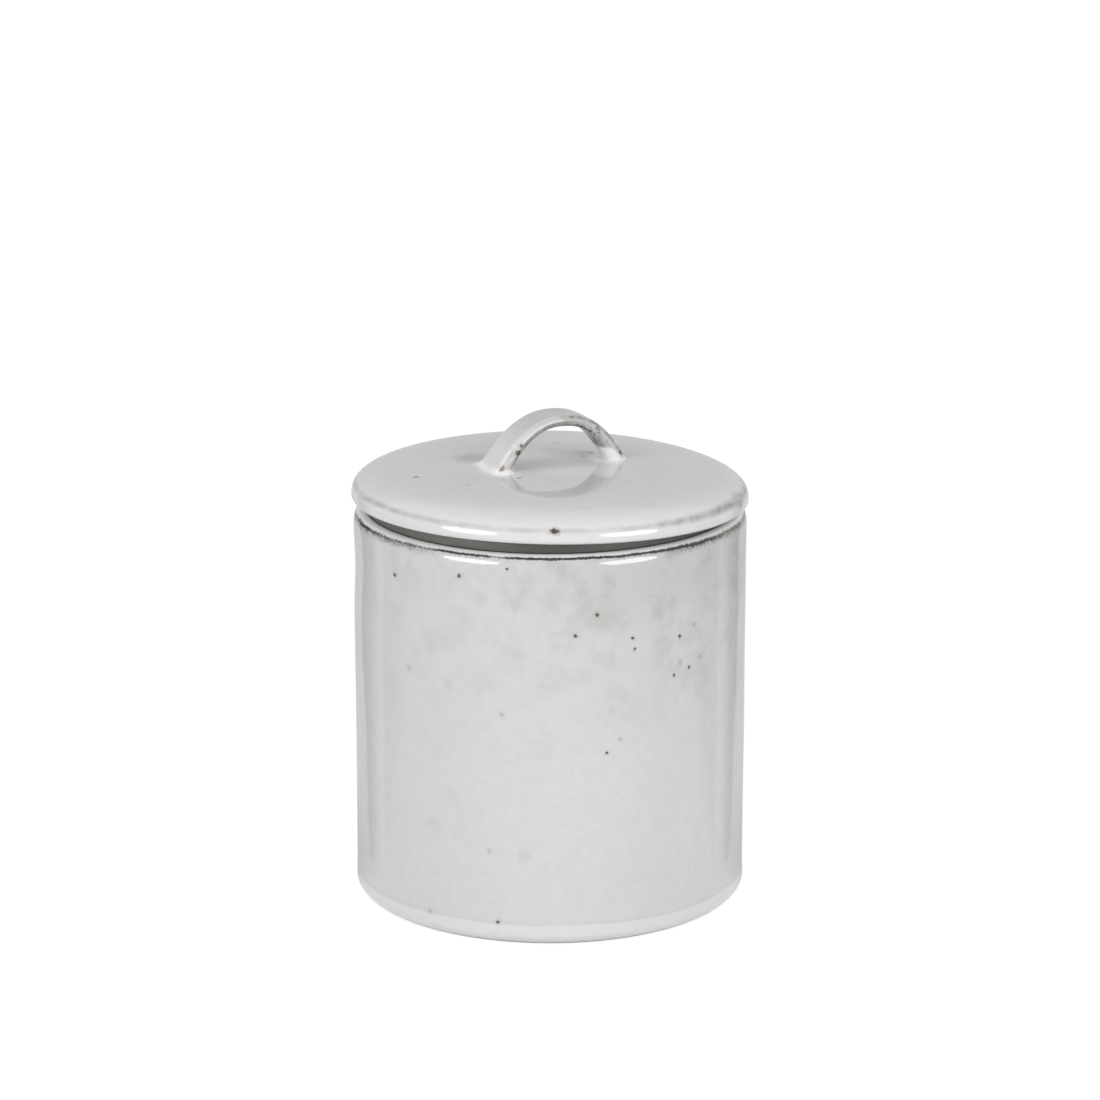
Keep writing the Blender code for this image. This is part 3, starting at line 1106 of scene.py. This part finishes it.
@dataclass
class DomedLid:
    """The lid: dome, bull-nose edge, neck with its bead, and the hollow inside the neck."""

    radius: float = field(default_factory=lambda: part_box("lid")[1][0])
    neck_end: float = field(default_factory=lambda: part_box("lid")[0][2])
    crown: float = field(default_factory=lambda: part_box("lid")[1][2])
    rise: float = 0.0092
    fullness_out: float = 5.2
    fullness_up: float = 2.6
    lower_round: float = 0.0012
    thickness: float = 0.0060
    neck_radius: float = 0.0515
    neck_wall: float = 0.0048
    bead_height: float = 0.0020
    bead_reach: float = 0.0007
    bead_round: float = 0.0009
    neck_round: float = 0.0040
    inner_round: float = 0.0003
    lean_right: float = -0.0150
    warp: float = 0.00032
    level_radius: float = 0.0570
    lean_radius: float = 0.0590
    line_rise: float = 0.0032
    line_reach: float = 0.0012
    wide_reach: float = 0.0019
    reach_across: Point = (0.020, 0.055)
    worn_across: Point = (0.026, 0.042)
    right_across: Point = (0.010, 0.052)
    patch_scale: float = 190.0
    pool_and_light_fade: Point = (1.0, 0.40)
    swell: float = 0.00008
    swell_waves: float = 26.0
    top_steps: int = 64
    ceiling_steps: int = 12
    bare_heights: Point = (0.0016, 0.00112)

    @property
    def equator(self) -> float:
        """Height at which the edge reaches furthest out."""
        return self.crown - self.rise

    def top(self, r: float) -> float:
        """Return the height of the low dome at a radius, without the lean."""
        share = min(1.0, abs(r) / self.radius)
        return self.equator + self.rise * (1 - share ** self.fullness_out) ** (1 / self.fullness_up)

    def ceiling(self, r: float) -> float:
        """Return the height of the hollow's ceiling at a radius."""
        return self.top(r) - self.thickness

    def lean(self, point: Vector) -> float:
        """Return how much lean and warp of the lid lift a point of its top."""
        across, ahead = point.dot(CAMERA.right), point.dot(CAMERA.toward)
        return self.lean_right * across + self.warp * (ahead ** 2 - across ** 2) / self.radius ** 2

    def outline(self) -> list[Point]:
        """Return the section from the crown round the edge and neck to the ceiling's middle."""
        dome = []
        for i in range(self.top_steps):
            turn = math.pi / 2 * (1 - (1 - i / self.top_steps) ** CROWDING)
            up, out = full_turn(turn, self.fullness_up)[0], full_turn(turn, self.fullness_out)[1]
            dome.append((self.radius * out, self.equator + self.rise * up))
        underside = self.equator - self.lower_round
        inner = self.neck_radius - self.neck_wall
        bead = self.neck_radius + self.bead_reach
        bead_top = self.neck_end + self.bead_height
        corners = [
            (self.radius, self.equator, 0.0),
            (self.radius, underside, self.lower_round),
            (self.neck_radius, underside, self.inner_round),
            (self.neck_radius, bead_top, self.inner_round),
            (bead, bead_top, self.bead_reach / 2),
            (bead, self.neck_end, self.bead_round),
            (inner, self.neck_end, self.bead_round),
            (inner, self.ceiling(inner), self.neck_round),
        ]
        for i in reversed(range(self.ceiling_steps)):
            r = inner * i / self.ceiling_steps
            corners.append((r, self.ceiling(r), 0.0))
        return split_long(dome + outline(corners, False), WALL_STEP)

    def leaned(self, point: Vector) -> Vector:
        """Return a point with the lid's lean, which leaves the seat and the neck level.

        Args:
            point: The point on the true round.

        Returns:
            The point on the leaned lid.
        """
        r = math.hypot(point.x, point.y)
        on_top = point.z > self.top(r) - self.swell
        share = 1.0 if on_top else smooth_step(r, self.level_radius, self.lean_radius)
        swell = noise.noise(point * self.swell_waves) * self.swell if on_top else 0.0
        return point + UP * (share * self.lean(point) + swell)

    def material(self, finish: GlazeFinish, mesh: Mesh, glaze_pools_and_arch_light: Iterable[PoolAndLight]) -> Material:
        """Return the lid's glaze: its marks, white round the strap's feet, painted light and shade, the
        edge's line and the bare neck.

        Args:
            finish: The glaze.
            mesh: The mesh that the marks lie on.
            glaze_pools_and_arch_light: White glaze round the strap's feet, and painted light on the lid under
                the arch.

        Returns:
            The material.
        """
        coat = GlazeCoat("lid_glaze", finish)
        canvas = coat.canvas
        height = canvas.part(coat.place, "Z")
        coat.layer(coat.clouds.outputs["Smoke"], finish.dab, strength=0.12)
        leaned = canvas.along(coat.place, UP - CAMERA.right * self.lean_right)
        across = canvas.along(coat.place, CAMERA.right)
        level = self.equator + self.line_rise
        # Whiter band below the edge's line: partly glaze gathered there, partly painted light on the face
        # turned to the softboxes.
        coat.layer(canvas.ramp(leaned, level + 2 * self.line_rise, level), finish.pooled_and_lit, strength=0.46)
        beside = canvas.math("ABSOLUTE", canvas.minus(leaned, level))
        reach = canvas.ramp(across, *self.reach_across, self.line_reach, self.wide_reach)
        patches = canvas.noise(coat.place, scale=self.patch_scale, detail=4.0, roughness=0.65)
        patchy = canvas.ramp(patches, 0.36, 0.66, 0.50, 1.0)
        smudge = canvas.times(canvas.ramp(beside, reach, 0.0), patchy)
        worn = canvas.ramp(canvas.math("ABSOLUTE", across), *self.worn_across, 0.32, 0.48)
        righter = canvas.times(worn, canvas.ramp(across, *self.right_across, 1.0, 1.5))
        coat.layer(canvas.times(smudge, righter), finish.grime)
        # The last entry is painted light on the lid under the arch, not a foot.
        for foot, shape, strength in glaze_pools_and_arch_light:
            away = canvas.vector("SUBTRACT", coat.place, foot)
            pulled = canvas.vector("MULTIPLY", away, shape)
            share = canvas.vector("LENGTH", pulled)
            coat.layer(canvas.ramp(share, *self.pool_and_light_fade), finish.slip, strength)
        coat.marks(CAMERA.find(mesh, LID_MARKS_AND_SHADE))
        coat.leave_bare(canvas.ramp(height, *(self.neck_end + rise for rise in self.bare_heights)))
        return coat.close()

    def build(self, finish: GlazeFinish, glaze_pools_and_arch_light: Iterable[PoolAndLight]) -> None:
        """Make the lid and put it in the place of its solid."""
        mesh = turned_mesh("lid_dome", self.outline(), False, self.leaned)
        piece = finish_piece(mesh, self.material(finish, mesh, glaze_pools_and_arch_light), Body.LID, Slot.LID)
        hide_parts("lid")


@dataclass(frozen=True)
class Leg:
    """One half of the strap, from its foot to the crown."""

    side: float
    power: float
    fillet: float
    thicken: float
    sway: float
    flare: float
    skirt: float
    spread: float
    splay: float
    pool_shift: float
    pool_reach: Point


STRAP_SIDES = ("sideways", "underside", "ridge", "upper_edge", "lower_edge", "below_notch")


@dataclass
class StrapHandle:
    """The strap pulled from clay, bent to an arch and luted on the lid by its two flared feet."""

    lid: DomedLid
    left: Leg = Leg(
        side=-1.0, power=2.1, fillet=0.0028, thicken=0.0006, sway=-0.0010, flare=0.40, skirt=1.0,
        spread=0.0012, splay=0.0, pool_shift=0.0, pool_reach=(0.0072, 0.0170),
    )
    right: Leg = Leg(
        side=1.0, power=2.63, fillet=0.0026, thicken=0.0015, sway=0.0, flare=0.0, skirt=0.0,
        spread=-0.0029, splay=0.0007, pool_shift=-0.0025, pool_reach=(0.0064, 0.0085),
    )
    span: float = 0.0390
    offset: float = 0.0010
    crown_shift: float = 0.0005
    width: float = 0.0130
    thickness: float = 0.0035
    finger_gap: float = 0.0124
    turn_height: float = 0.0048
    stations: int = 56
    fillet_steps: int = 12
    end_steps: int = 22
    flat_steps: int = 10
    sink: float = 0.00005
    wobble: float = 0.00016
    left_pool: float = 0.0010
    right_pool: float = 0.0046
    pool_strength: float = 0.80
    arch_light_reach: Point = (0.0120, 0.0240)
    arch_light_strength: float = 0.36
    ridge: float = 11.0
    low_ridge_highlight: float = 52.0
    notch_height: float = 0.0052
    left_side: Colour = (0.255, 0.250, 0.236)
    low_side: Colour = (0.520, 0.515, 0.500)
    right_side: Colour = (0.360, 0.354, 0.338)
    pull: tuple[float, float, float] = (0.07, 1.0, 0.07)
    shaded: Colour = (0.160, 0.152, 0.138)
    wobble_waves: tuple[float, float, float] = (90.0, 120.0, 0.4)
    side_edges: Point = (3.0, -11.0)
    under_angles: Point = (-55.0, -80.0)
    ridge_highlight_width: float = 7.0
    upper_edge: Point = (46.0, 22.0)
    lower_edge: Point = (-46.0, 18.0)
    right_along: Point = (0.003, 0.010)
    left_highlight_along: Point = (0.0, -0.006)
    top_rises: Point = (0.009, 0.015)
    left_highlight_rises: Point = (0.0110, 0.0040)
    exposed_across: Point = (0.0140, 0.0158)
    ridge_highlight_along: Point = (0.0025, 0.0010)
    bare_onset: Point = (0.003, 0.008)
    bare_stop: Point = (0.0135, 0.0115)
    speckled_along: Point = (-0.001, 0.004)
    speck_cells: float = 75.0
    outer_along: Point = (0.0175, 0.0225)
    pool_along: Point = (-0.005, 0.012)
    pool_edge: Point = (0.0006, -0.0006)
    pool_wander: float = 0.0005

    def surface(self, x: float, y: float) -> float:
        """Return the height of the leaned lid under a place."""
        return self.lid.top(math.hypot(x, y)) + self.lid.lean(Vector((x, y, 0.0)))

    def foot_height(self, leg: Leg) -> float:
        """Return the height of the lid under the middle of a foot."""
        return self.surface(self.offset + leg.side * self.span / 2, 0.0)

    def glaze_pools_and_arch_light(self) -> list[PoolAndLight]:
        """Return the white glaze round each foot and the painted light under the arch: middle, how fast each
        fades along X and Y, and strength.
        """
        found = []
        for leg in (self.left, self.right):
            middle = Vector((self.offset + leg.side * self.span / 2 + leg.pool_shift, leg.sway, 0.0))
            found.append((middle, leg.pool_reach, self.pool_strength))
        # Painted light: a whiter patch on the lid under the arch, where the strap's shadow falls.
        found.append((Vector((0.0, 0.0, 0.0)), self.arch_light_reach, self.arch_light_strength))
        return [(middle, (1 / reach[0], 1 / reach[1], 0.0), strength) for middle, reach, strength in found]

    def rise(self, leg: Leg) -> float:
        """Return how far the strap's middle line climbs from a foot to the crown."""
        lift = self.lid.lean(Vector((self.offset + self.crown_shift, 0.0, 0.0)))
        return self.lid.crown + lift + self.finger_gap + self.thickness / 2 - self.foot_height(leg)

    def climb(self, leg: Leg) -> list[tuple[float, float]]:
        """Return heights above the lid from foot to crown, each with how far the foot flares there."""
        steps = []
        for i in range(self.fillet_steps):
            turn = math.pi / 2 * (1 - i / self.fillet_steps)
            steps.append((leg.fillet * (1 - math.sin(turn)), leg.fillet * (1 - math.cos(turn))))
        rise = self.rise(leg)
        first = (1 - leg.fillet / rise) ** (1 / leg.power)
        for i in range(self.stations):
            share = first * (1 - i / (self.stations - 1))
            steps.append((rise * (1 - share ** leg.power), 0.0))
        return steps

    @property
    def shape(self) -> list[Vector]:
        """The section's points as shares along the flat, out of the round end and through the strap."""
        points = []
        for hand in (1.0, -1.0):
            for i in range(self.end_steps + 1):
                angle = math.pi * (i / self.end_steps - 0.5)
                points.append(Vector((hand, hand * math.cos(angle), hand * math.sin(angle))))
            for i in range(1, self.flat_steps):
                points.append(Vector((hand * (1 - 2 * i / self.flat_steps), 0.0, hand)))
        return points

    def section(self, leg: Leg, height: float, flare: float) -> list[Vector]:
        """Return the strap's section at one height on one leg.

        Args:
            leg: The leg.
            height: How far the strap's middle line is above the lid under the foot.
            flare: How far the foot spreads there.

        Returns:
            The section's points, in order round the strap.
        """
        rise = self.rise(leg)
        share = max(0.0, 1 - height / rise) ** (1 / leg.power)
        reach = self.span / 2 - leg.side * self.crown_shift
        x = self.offset + self.crown_shift + leg.side * (share * reach + leg.splay * share ** 4)
        z = self.foot_height(leg) + height
        lean = math.atan(rise * leg.power * share ** (leg.power - 1) / reach)
        level = max(0.0, 1 - height / self.turn_height) ** 2
        tilt = lean + (math.pi / 2 - lean) * level
        outward = Vector((leg.side * math.sin(tilt), 0.0, math.cos(tilt)))
        half_width = self.width / 2 + leg.spread * share ** 2 + flare * leg.skirt
        half_depth = self.thickness / 2 / math.cos(tilt - lean) + leg.thicken * share ** 3 + flare * leg.flare
        middle = leg.sway * share ** 2
        waves = self.wobble_waves
        points = []
        for part in self.shape:
            across = middle + part.x * (half_width - half_depth) + part.y * half_depth
            place = Vector((x * waves[0], across * waves[1], part.z * waves[2]))
            uneven = noise.noise(place) * self.wobble
            point = Vector((x, across, z)) + outward * ((half_depth + uneven) * part.z)
            settled = self.surface(point.x, point.y) + height - self.sink
            point.z += (max(settled, self.surface(point.x, point.y) - self.sink) - point.z) * level
            points.append(point)
        return points

    def strap_mesh(self) -> Mesh:
        """Return the strap, one section lofted along the arch, with its sides and edges marked."""
        steps = [(self.left, *step) for step in self.climb(self.left)]
        steps += [(self.right, *step) for step in reversed(self.climb(self.right)[:-1])]
        rings = [self.section(*step) for step in steps]
        sides = len(rings[0])
        faces = []
        for i in range(len(rings) - 1):
            near, far = i * sides, (i + 1) * sides
            for j in range(sides):
                k = (j + 1) % sides
                faces.append((near + j, near + k, far + k, far + j))
        faces.append(tuple(range(sides - 1, -1, -1)))
        last = (len(rings) - 1) * sides
        faces.append(tuple(range(last, last + sides)))
        mesh = bpy.data.meshes.new("strap_handle")
        mesh.from_pydata([point for ring in rings for point in ring], [], faces)
        self.mark_sides(mesh, [leg is self.left and height < self.notch_height for leg, height, _ in steps])
        return mesh

    def mark_sides(self, mesh: Mesh, below: Sequence[bool]) -> None:
        """Store how much each point lies on a side, the underside, the line of painted highlight or an edge,
        or below the notch.

        Args:
            mesh: The strap's mesh.
            below: For each section, whether it is below the notch in the left leg.
        """
        values: dict[str, list[float]] = {name: [] for name in STRAP_SIDES}
        for low in below:
            ridge = self.low_ridge_highlight if low else self.ridge
            for part in self.shape:
                above = math.degrees(math.asin(part.z))
                sideways = smooth_step(above, *(ridge + edge for edge in self.side_edges))
                values["sideways"].append(sideways)
                values["underside"].append(smooth_step(above, *self.under_angles))
                values["ridge"].append(bell(above, ridge, self.ridge_highlight_width))
                values["upper_edge"].append(bell(above, *self.upper_edge))
                values["lower_edge"].append(bell(above, *self.lower_edge))
                values["below_notch"].append(float(low))
        for name, found in values.items():
            mesh.attributes.new(name, "FLOAT", "POINT").data.foreach_set("value", found)

    def material(self, finish: GlazeFinish, mesh: Mesh) -> Material:
        """Return the strap's glaze: dark on the thinly glazed sides and edges, white on the feet, with
        painted highlights and shade.

        Args:
            finish: The glaze.
            mesh: The mesh that the marks lie on.

        Returns:
            The material.
        """
        coat = GlazeCoat("strap_glaze", finish)
        canvas = coat.canvas
        side, under, ridge, upper, lower, below = (
            canvas.add("ShaderNodeAttribute", attribute_name=name).outputs["Fac"]
            for name in STRAP_SIDES
        )
        along = canvas.part(coat.place, "X")
        right = canvas.ramp(along, *self.right_along)
        leaned = canvas.along(coat.place, UP - CAMERA.right * self.lid.lean_right)
        rubbed = canvas.noise(coat.place, scale=300.0, detail=3.0, roughness=0.6)
        worn = canvas.ramp(rubbed, 0.32, 0.62, 0.60, 1.0)
        sandy = canvas.noise(coat.place, scale=620.0, detail=3.0, roughness=0.65)
        grain = canvas.ramp(sandy, 0.36, 0.60, 0.20, 1.0)
        pulled = canvas.vector("MULTIPLY", coat.place, self.pull)
        streaks = canvas.ramp(canvas.noise(pulled, scale=900.0, detail=2.0), 0.40, 0.65)
        top = canvas.ramp(leaned, *(self.lid.crown + rise for rise in self.top_rises))
        coat.layer(top, finish.thin_glaze_and_shade, strength=0.65)
        # Painted highlight: the lower part of the left leg is lightened where it faces the left softbox.
        low = canvas.ramp(leaned, *(self.lid.crown + rise for rise in self.left_highlight_rises))
        left_leg_highlight = canvas.times(low, canvas.ramp(along, *self.left_highlight_along))
        coat.layer(left_leg_highlight, finish.pooled_and_lit, strength=0.55)
        coat.layer(canvas.times(streaks, top), finish.dab, strength=0.35)
        spotted = canvas.mix(grain, finish.thin_glaze_and_shade, self.right_side)
        lefthand = canvas.mix(below, self.left_side, self.low_side)
        coat.layer(canvas.times(side, worn), canvas.mix(right, lefthand, spotted), strength=0.90)
        # Painted shade on the underside of the right leg, lighter where it is exposed.
        exposed = canvas.ramp(canvas.along(coat.place, CAMERA.right), *self.exposed_across)
        inner = canvas.mix(exposed, self.shaded, self.right_side)
        coat.layer(canvas.times(under, right), inner, strength=0.90)
        # Painted highlight: a white line along the strap's upper front edge.
        ridge = canvas.times(ridge, canvas.ramp(along, *self.ridge_highlight_along))
        coat.layer(ridge, finish.slip, strength=0.80)
        onset, stop = canvas.ramp(along, *self.bare_onset), canvas.ramp(along, *self.bare_stop)
        plain = canvas.ramp(below, 0.0, 1.0, 0.28, 0.75)
        bare_edge = canvas.ramp(canvas.times(onset, stop), 0.0, 1.0, plain, 0.95)
        coat.layer(canvas.times(lower, canvas.times(grain, bare_edge)), finish.broken)
        speckled = canvas.times(canvas.ramp(along, *self.speckled_along), grain)
        coat.layer(canvas.times(upper, speckled), finish.grime, strength=0.85)
        coat.scatter(1.0, self.speck_cells)
        ragged = canvas.noise(coat.place, scale=180.0, detail=2.0)
        uneven = canvas.ramp(ragged, 0.3, 0.7, -self.pool_wander, self.pool_wander)
        above = canvas.minus(canvas.math("ADD", leaned, uneven), self.lid.crown)
        outer = canvas.ramp(along, *self.outer_along, self.right_pool, self.left_pool)
        reach = canvas.ramp(along, *self.pool_along, self.left_pool, outer)
        pool = canvas.ramp(canvas.minus(above, reach), *self.pool_edge)
        coat.layer(pool, finish.slip, strength=0.95)
        coat.marks(CAMERA.find(mesh, STRAP_MARKS))
        return coat.close()

    def build(self, finish: GlazeFinish) -> None:
        """Make the strap and put it in the place of its solid."""
        mesh = self.strap_mesh()
        strap = finish_piece(mesh, self.material(finish, mesh), Body.LID, Slot.HANDLE)
        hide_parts("lid_handle")


def mirror_material(name: str, strength: Callable[[Canvas], Feed]) -> Material:
    """Return an even glow for cards that only mirror images show.

    Args:
        name: The material's name.
        strength: Gives the glow, drawn on the material's own canvas.

    Returns:
        The material.
    """
    material = bpy.data.materials.new(name)
    material.use_nodes = True
    canvas = Canvas(material.node_tree)
    material.node_tree.nodes.remove(material.node_tree.nodes["Principled BSDF"])
    glow = canvas.add("ShaderNodeEmission", {"Strength": strength(canvas)})
    canvas.feed(material.node_tree.nodes["Material Output"].inputs["Surface"], glow.outputs[0])
    return material


def bent_sheet(edge: Sequence[Vector], across: Vector) -> tuple[list[Vector], list[tuple[int, ...]]]:
    """Return a sheet's corners and faces.

    Args:
        edge: One edge of the sheet, which may bend.
        across: The way from that edge to the opposite one.

    Returns:
        The corners, and the faces by their corners.
    """
    corners = [point + shift for point in edge for shift in (Vector(), across)]
    return corners, [(2 * i, 2 * i + 2, 2 * i + 3, 2 * i + 1) for i in range(len(edge) - 1)]


def mirror_card(
    name: str, corners: Sequence[Vector], faces: Sequence[tuple[int, ...]], material: Material
) -> None:
    """Add a card that only mirror images show.

    Args:
        name: The card's name.
        corners: Its corners.
        faces: Its faces, by their corners.
        material: Its glow.
    """
    mesh = bpy.data.meshes.new(name)
    mesh.from_pydata(corners, [], faces)
    mesh.materials.append(material)
    card = link_object(name, mesh)
    card.visible_camera = False
    card.visible_diffuse = False
    card.visible_shadow = False
    card.visible_transmission = False
    card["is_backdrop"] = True


@dataclass(frozen=True)
class Softbox:
    """A square softbox, placed by its direction from the jar as the camera sees it."""

    name: str
    azimuth: float
    elevation: float
    width: float
    height: float
    radiance: float
    gleam: float = 0.0
    gleam_distance: float = 0.150
    gleam_reach: Point = (-0.0585, 0.0170)
    gleam_heights: Point = (0.1165, 0.1590)
    gleam_corner: Point = (0.45, 0.60)
    distance: float = 0.95
    aim: float = 0.10

    def way(self, elevation: float) -> Vector:
        """Return the direction from the jar to the box at an elevation in degrees."""
        level = Matrix.Rotation(math.radians(self.azimuth), 3, "Z") @ CAMERA.toward
        rise = math.radians(elevation)
        return level * math.cos(rise) + UP * math.sin(rise)

    def place(self) -> None:
        """Add the lamp, and the bright front that the glaze mirrors."""
        way = self.way(self.elevation)
        data = bpy.data.lights.new(self.name, "AREA")
        data.shape = "RECTANGLE"
        data.size = self.width
        data.size_y = self.height
        data.energy = self.radiance * math.pi * self.width * self.height
        lamp = link_object(self.name, data)
        lamp.location = way * self.distance + UP * self.aim
        lamp.rotation_euler = way.to_track_quat("Z", "Y").to_euler()
        lamp.visible_camera = False
        lamp.visible_glossy = False
        if self.gleam > 0:
            self.place_front()

    def place_front(self) -> None:
        """Add the bright eight-sided front as a card close to the jar that only mirror images show."""
        level = self.way(0.0)
        outward = UP.cross(level) * math.copysign(1.0, self.azimuth)
        near, far = self.gleam_reach
        low, high = self.gleam_heights
        middle = level * self.gleam_distance + outward * ((near + far) / 2) + UP * ((low + high) / 2)
        half, rise = outward * ((far - near) / 2), UP * ((high - low) / 2)
        short, flat = 1 - self.gleam_corner[0], 1 - self.gleam_corner[1]
        ring = (
            (-1, -flat), (-short, -1), (short, -1), (1, -flat),
            (1, flat), (short, 1), (-short, 1), (-1, flat),
        )
        corners = [middle + half * across + rise * up for across, up in ring]
        material = mirror_material(f"{self.name}_front", lambda canvas: self.gleam)
        mirror_card(f"{self.name}_front", corners, [tuple(range(len(corners)))], material)


@dataclass
class Studio:
    """Pale floor, white surroundings, softboxes and the cards that the glaze mirrors."""

    floor_size: float = 12.0
    floor_colour: Colour = (0.80, 0.80, 0.80)
    floor_share: float = 0.24
    floor_white: float = 0.90
    far_white: float = 0.98
    floor_fade: Point = (0.45, 1.10)
    ambient: float = 0.26
    card_height: float = 0.150
    card_base: float = 0.003
    card_value: float = 0.22
    card_front: Point = (0.0, 0.018)
    card_route: tuple[Point, ...] = (
        (0.082, 0.018), (0.080, 0.0), (0.107, -0.035), (0.162, -0.103), (0.210, -0.200)
    )
    sweep_value: float = 0.66
    sweep_width: float = 2.4
    sweep_front: Point = (-0.012, 0.028)
    sweep_bend: tuple[Point, ...] = (
        (0.03, 0.001), (-0.70, 0.001), (-0.86, 0.06), (-0.93, 0.20), (-0.95, 1.00)
    )
    contact_shadow_value: float = 0.54
    contact_shadow_reach: Point = (0.08, 0.135)
    collar_radius: float = 0.085
    collar_base: float = 0.1385
    collar_height: float = 0.030
    collar_turn: float = 80.0
    collar_steps: int = 24
    boxes: tuple[Softbox, ...] = (
        Softbox("softbox_left", -45.0, 22.0, 0.62, 0.58, 4.1, gleam=8.0),
        Softbox("softbox_right", 45.0, 22.0, 0.62, 0.58, 4.1, gleam=8.0),
        Softbox("softbox_back_left", -135.0, 16.0, 0.50, 0.40, 1.6),
        Softbox("softbox_back_right", 135.0, 16.0, 0.50, 0.40, 1.6),
        Softbox("softbox_top", 180.0, 85.0, 0.55, 0.55, 1.72),
    )

    @staticmethod
    def seen(canvas: Canvas) -> Socket:
        """Return 1 for rays that look at the background: straight, mirrored or through glass."""
        path = canvas.add("ShaderNodeLightPath")
        mirrored = canvas.math("MAXIMUM", path.outputs["Is Camera Ray"], path.outputs["Is Glossy Ray"])
        return canvas.math("MAXIMUM", mirrored, path.outputs["Is Transmission Ray"])

    def floor_material(self) -> Material:
        """Return a pale floor that looks white and keeps the shadow."""
        material = bpy.data.materials.new("pale_floor")
        material.use_nodes = True
        canvas = Canvas(material.node_tree)
        material.node_tree.nodes.remove(material.node_tree.nodes["Principled BSDF"])
        bounce = canvas.add("ShaderNodeBsdfDiffuse", {"Color": self.floor_colour})
        darker = tuple(self.floor_share * share for share in self.floor_colour)
        shaded = canvas.add("ShaderNodeBsdfDiffuse", {"Color": darker})
        place = canvas.add("ShaderNodeTexCoord").outputs["Object"]
        away = canvas.vector("LENGTH", place)
        glow = canvas.ramp(away, *self.floor_fade, self.floor_white, self.far_white)
        white = canvas.add("ShaderNodeEmission", {"Strength": glow})
        both = canvas.add("ShaderNodeAddShader", {0: shaded.outputs[0], 1: white.outputs[0]})
        choice = {0: self.seen(canvas), 1: bounce.outputs[0], 2: both.outputs[0]}
        mixed = canvas.add("ShaderNodeMixShader", choice)
        canvas.feed(material.node_tree.nodes["Material Output"].inputs["Surface"], mixed.outputs[0])
        return material

    def place_floor(self) -> None:
        """Add the floor."""
        half = self.floor_size / 2
        mesh = bpy.data.meshes.new("studio_floor")
        corners = [(-half, -half, 0.0), (half, -half, 0.0), (half, half, 0.0), (-half, half, 0.0)]
        mesh.from_pydata(corners, [], [(0, 1, 2, 3)])
        mesh.materials.append(self.floor_material())
        link_object("studio_floor", mesh)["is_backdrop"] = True

    def place_cards(self) -> None:
        """Add the dark cards, the grey sweep and the white collar, for mirror images only."""

        def side_value(canvas: Canvas) -> Socket:
            """Return the side cards' glow, white towards the camera."""
            ahead = canvas.along(canvas.add("ShaderNodeTexCoord").outputs["Object"], CAMERA.toward)
            return canvas.ramp(ahead, *self.card_front, self.card_value, 1.0)

        def sweep_glow(canvas: Canvas) -> Socket:
            """Return the sweep's glow: a painted shadow beside the jar, grey behind it and white in front."""
            place = canvas.add("ShaderNodeTexCoord").outputs["Object"]
            front = canvas.ramp(canvas.along(place, CAMERA.toward), *self.sweep_front)
            away = canvas.vector("LENGTH", place)
            grey = canvas.ramp(away, *self.contact_shadow_reach, self.contact_shadow_value, self.sweep_value)
            return canvas.ramp(front, 0.0, 1.0, grey, 1.0)

        dark = mirror_material("dark_card", side_value)
        for name, side in (("card_left", -1.0), ("card_right", 1.0)):
            outward = CAMERA.right * side
            foot = [outward * across + CAMERA.toward * ahead for across, ahead in self.card_route]
            edge = [point + UP * self.card_base for point in foot]
            mirror_card(name, *bent_sheet(edge, UP * self.card_height), dark)
        start = CAMERA.right * (-self.sweep_width / 2)
        edge = [start + CAMERA.toward * ahead + UP * rise for ahead, rise in self.sweep_bend]
        sheet = bent_sheet(edge, CAMERA.right * self.sweep_width)
        mirror_card("grey_sweep", *sheet, mirror_material("grey_sweep", sweep_glow))
        self.place_collar()

    def place_collar(self) -> None:
        """Add a white collar round the lid's front, which hides the softboxes from its top."""
        edge = []
        for i in range(self.collar_steps + 1):
            turn = math.radians(self.collar_turn * (2 * i / self.collar_steps - 1))
            way = CAMERA.toward * math.cos(turn) + CAMERA.right * math.sin(turn)
            edge.append(way * self.collar_radius + UP * self.collar_base)
        sheet = bent_sheet(edge, UP * self.collar_height)
        mirror_card("white_collar", *sheet, mirror_material("white_collar", lambda canvas: 1.0))

    def light_world(self) -> None:
        """Give the surroundings a soft light, and white where they are looked at."""
        world = bpy.data.worlds.new("studio_world")
        bpy.context.scene.world = world
        world.use_nodes = True
        canvas = Canvas(world.node_tree)
        strength = canvas.ramp(self.seen(canvas), 0.0, 1.0, self.ambient, 1.0)
        canvas.feed(world.node_tree.nodes["Background"].inputs["Color"], (1.0, 1.0, 1.0))
        canvas.feed(world.node_tree.nodes["Background"].inputs["Strength"], strength)

    def build(self) -> None:
        """Set up the whole studio."""
        self.place_floor()
        self.place_cards()
        self.light_world()
        for box in self.boxes:
            box.place()
        bpy.context.scene.view_settings.view_transform = "Standard"


def write_sizes() -> None:
    """Gather the boxes of the solids and of the dressed part side by side."""
    boxes = {"cad": CAD_BOUNDS, "visual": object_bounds()}
    plain = {name: [list(corner) for corner in corners] for name, corners in boxes.items()}


def main() -> None:
    """Build the part and the studio in order."""
    logging.basicConfig(level=logging.INFO, format="%(name)s: %(message)s")
    CAMERA.place()
    glaze = GlazeFinish()
    jar = JarBody()
    lid = DomedLid()
    handle = StrapHandle(lid)
    jar.build(glaze)
    SealRing(jar).build(SiliconeFinish())
    lid.build(glaze, handle.glaze_pools_and_arch_light())
    handle.build(glaze)
    Studio().build()
    write_sizes()


if __name__ == "__main__":
    main()
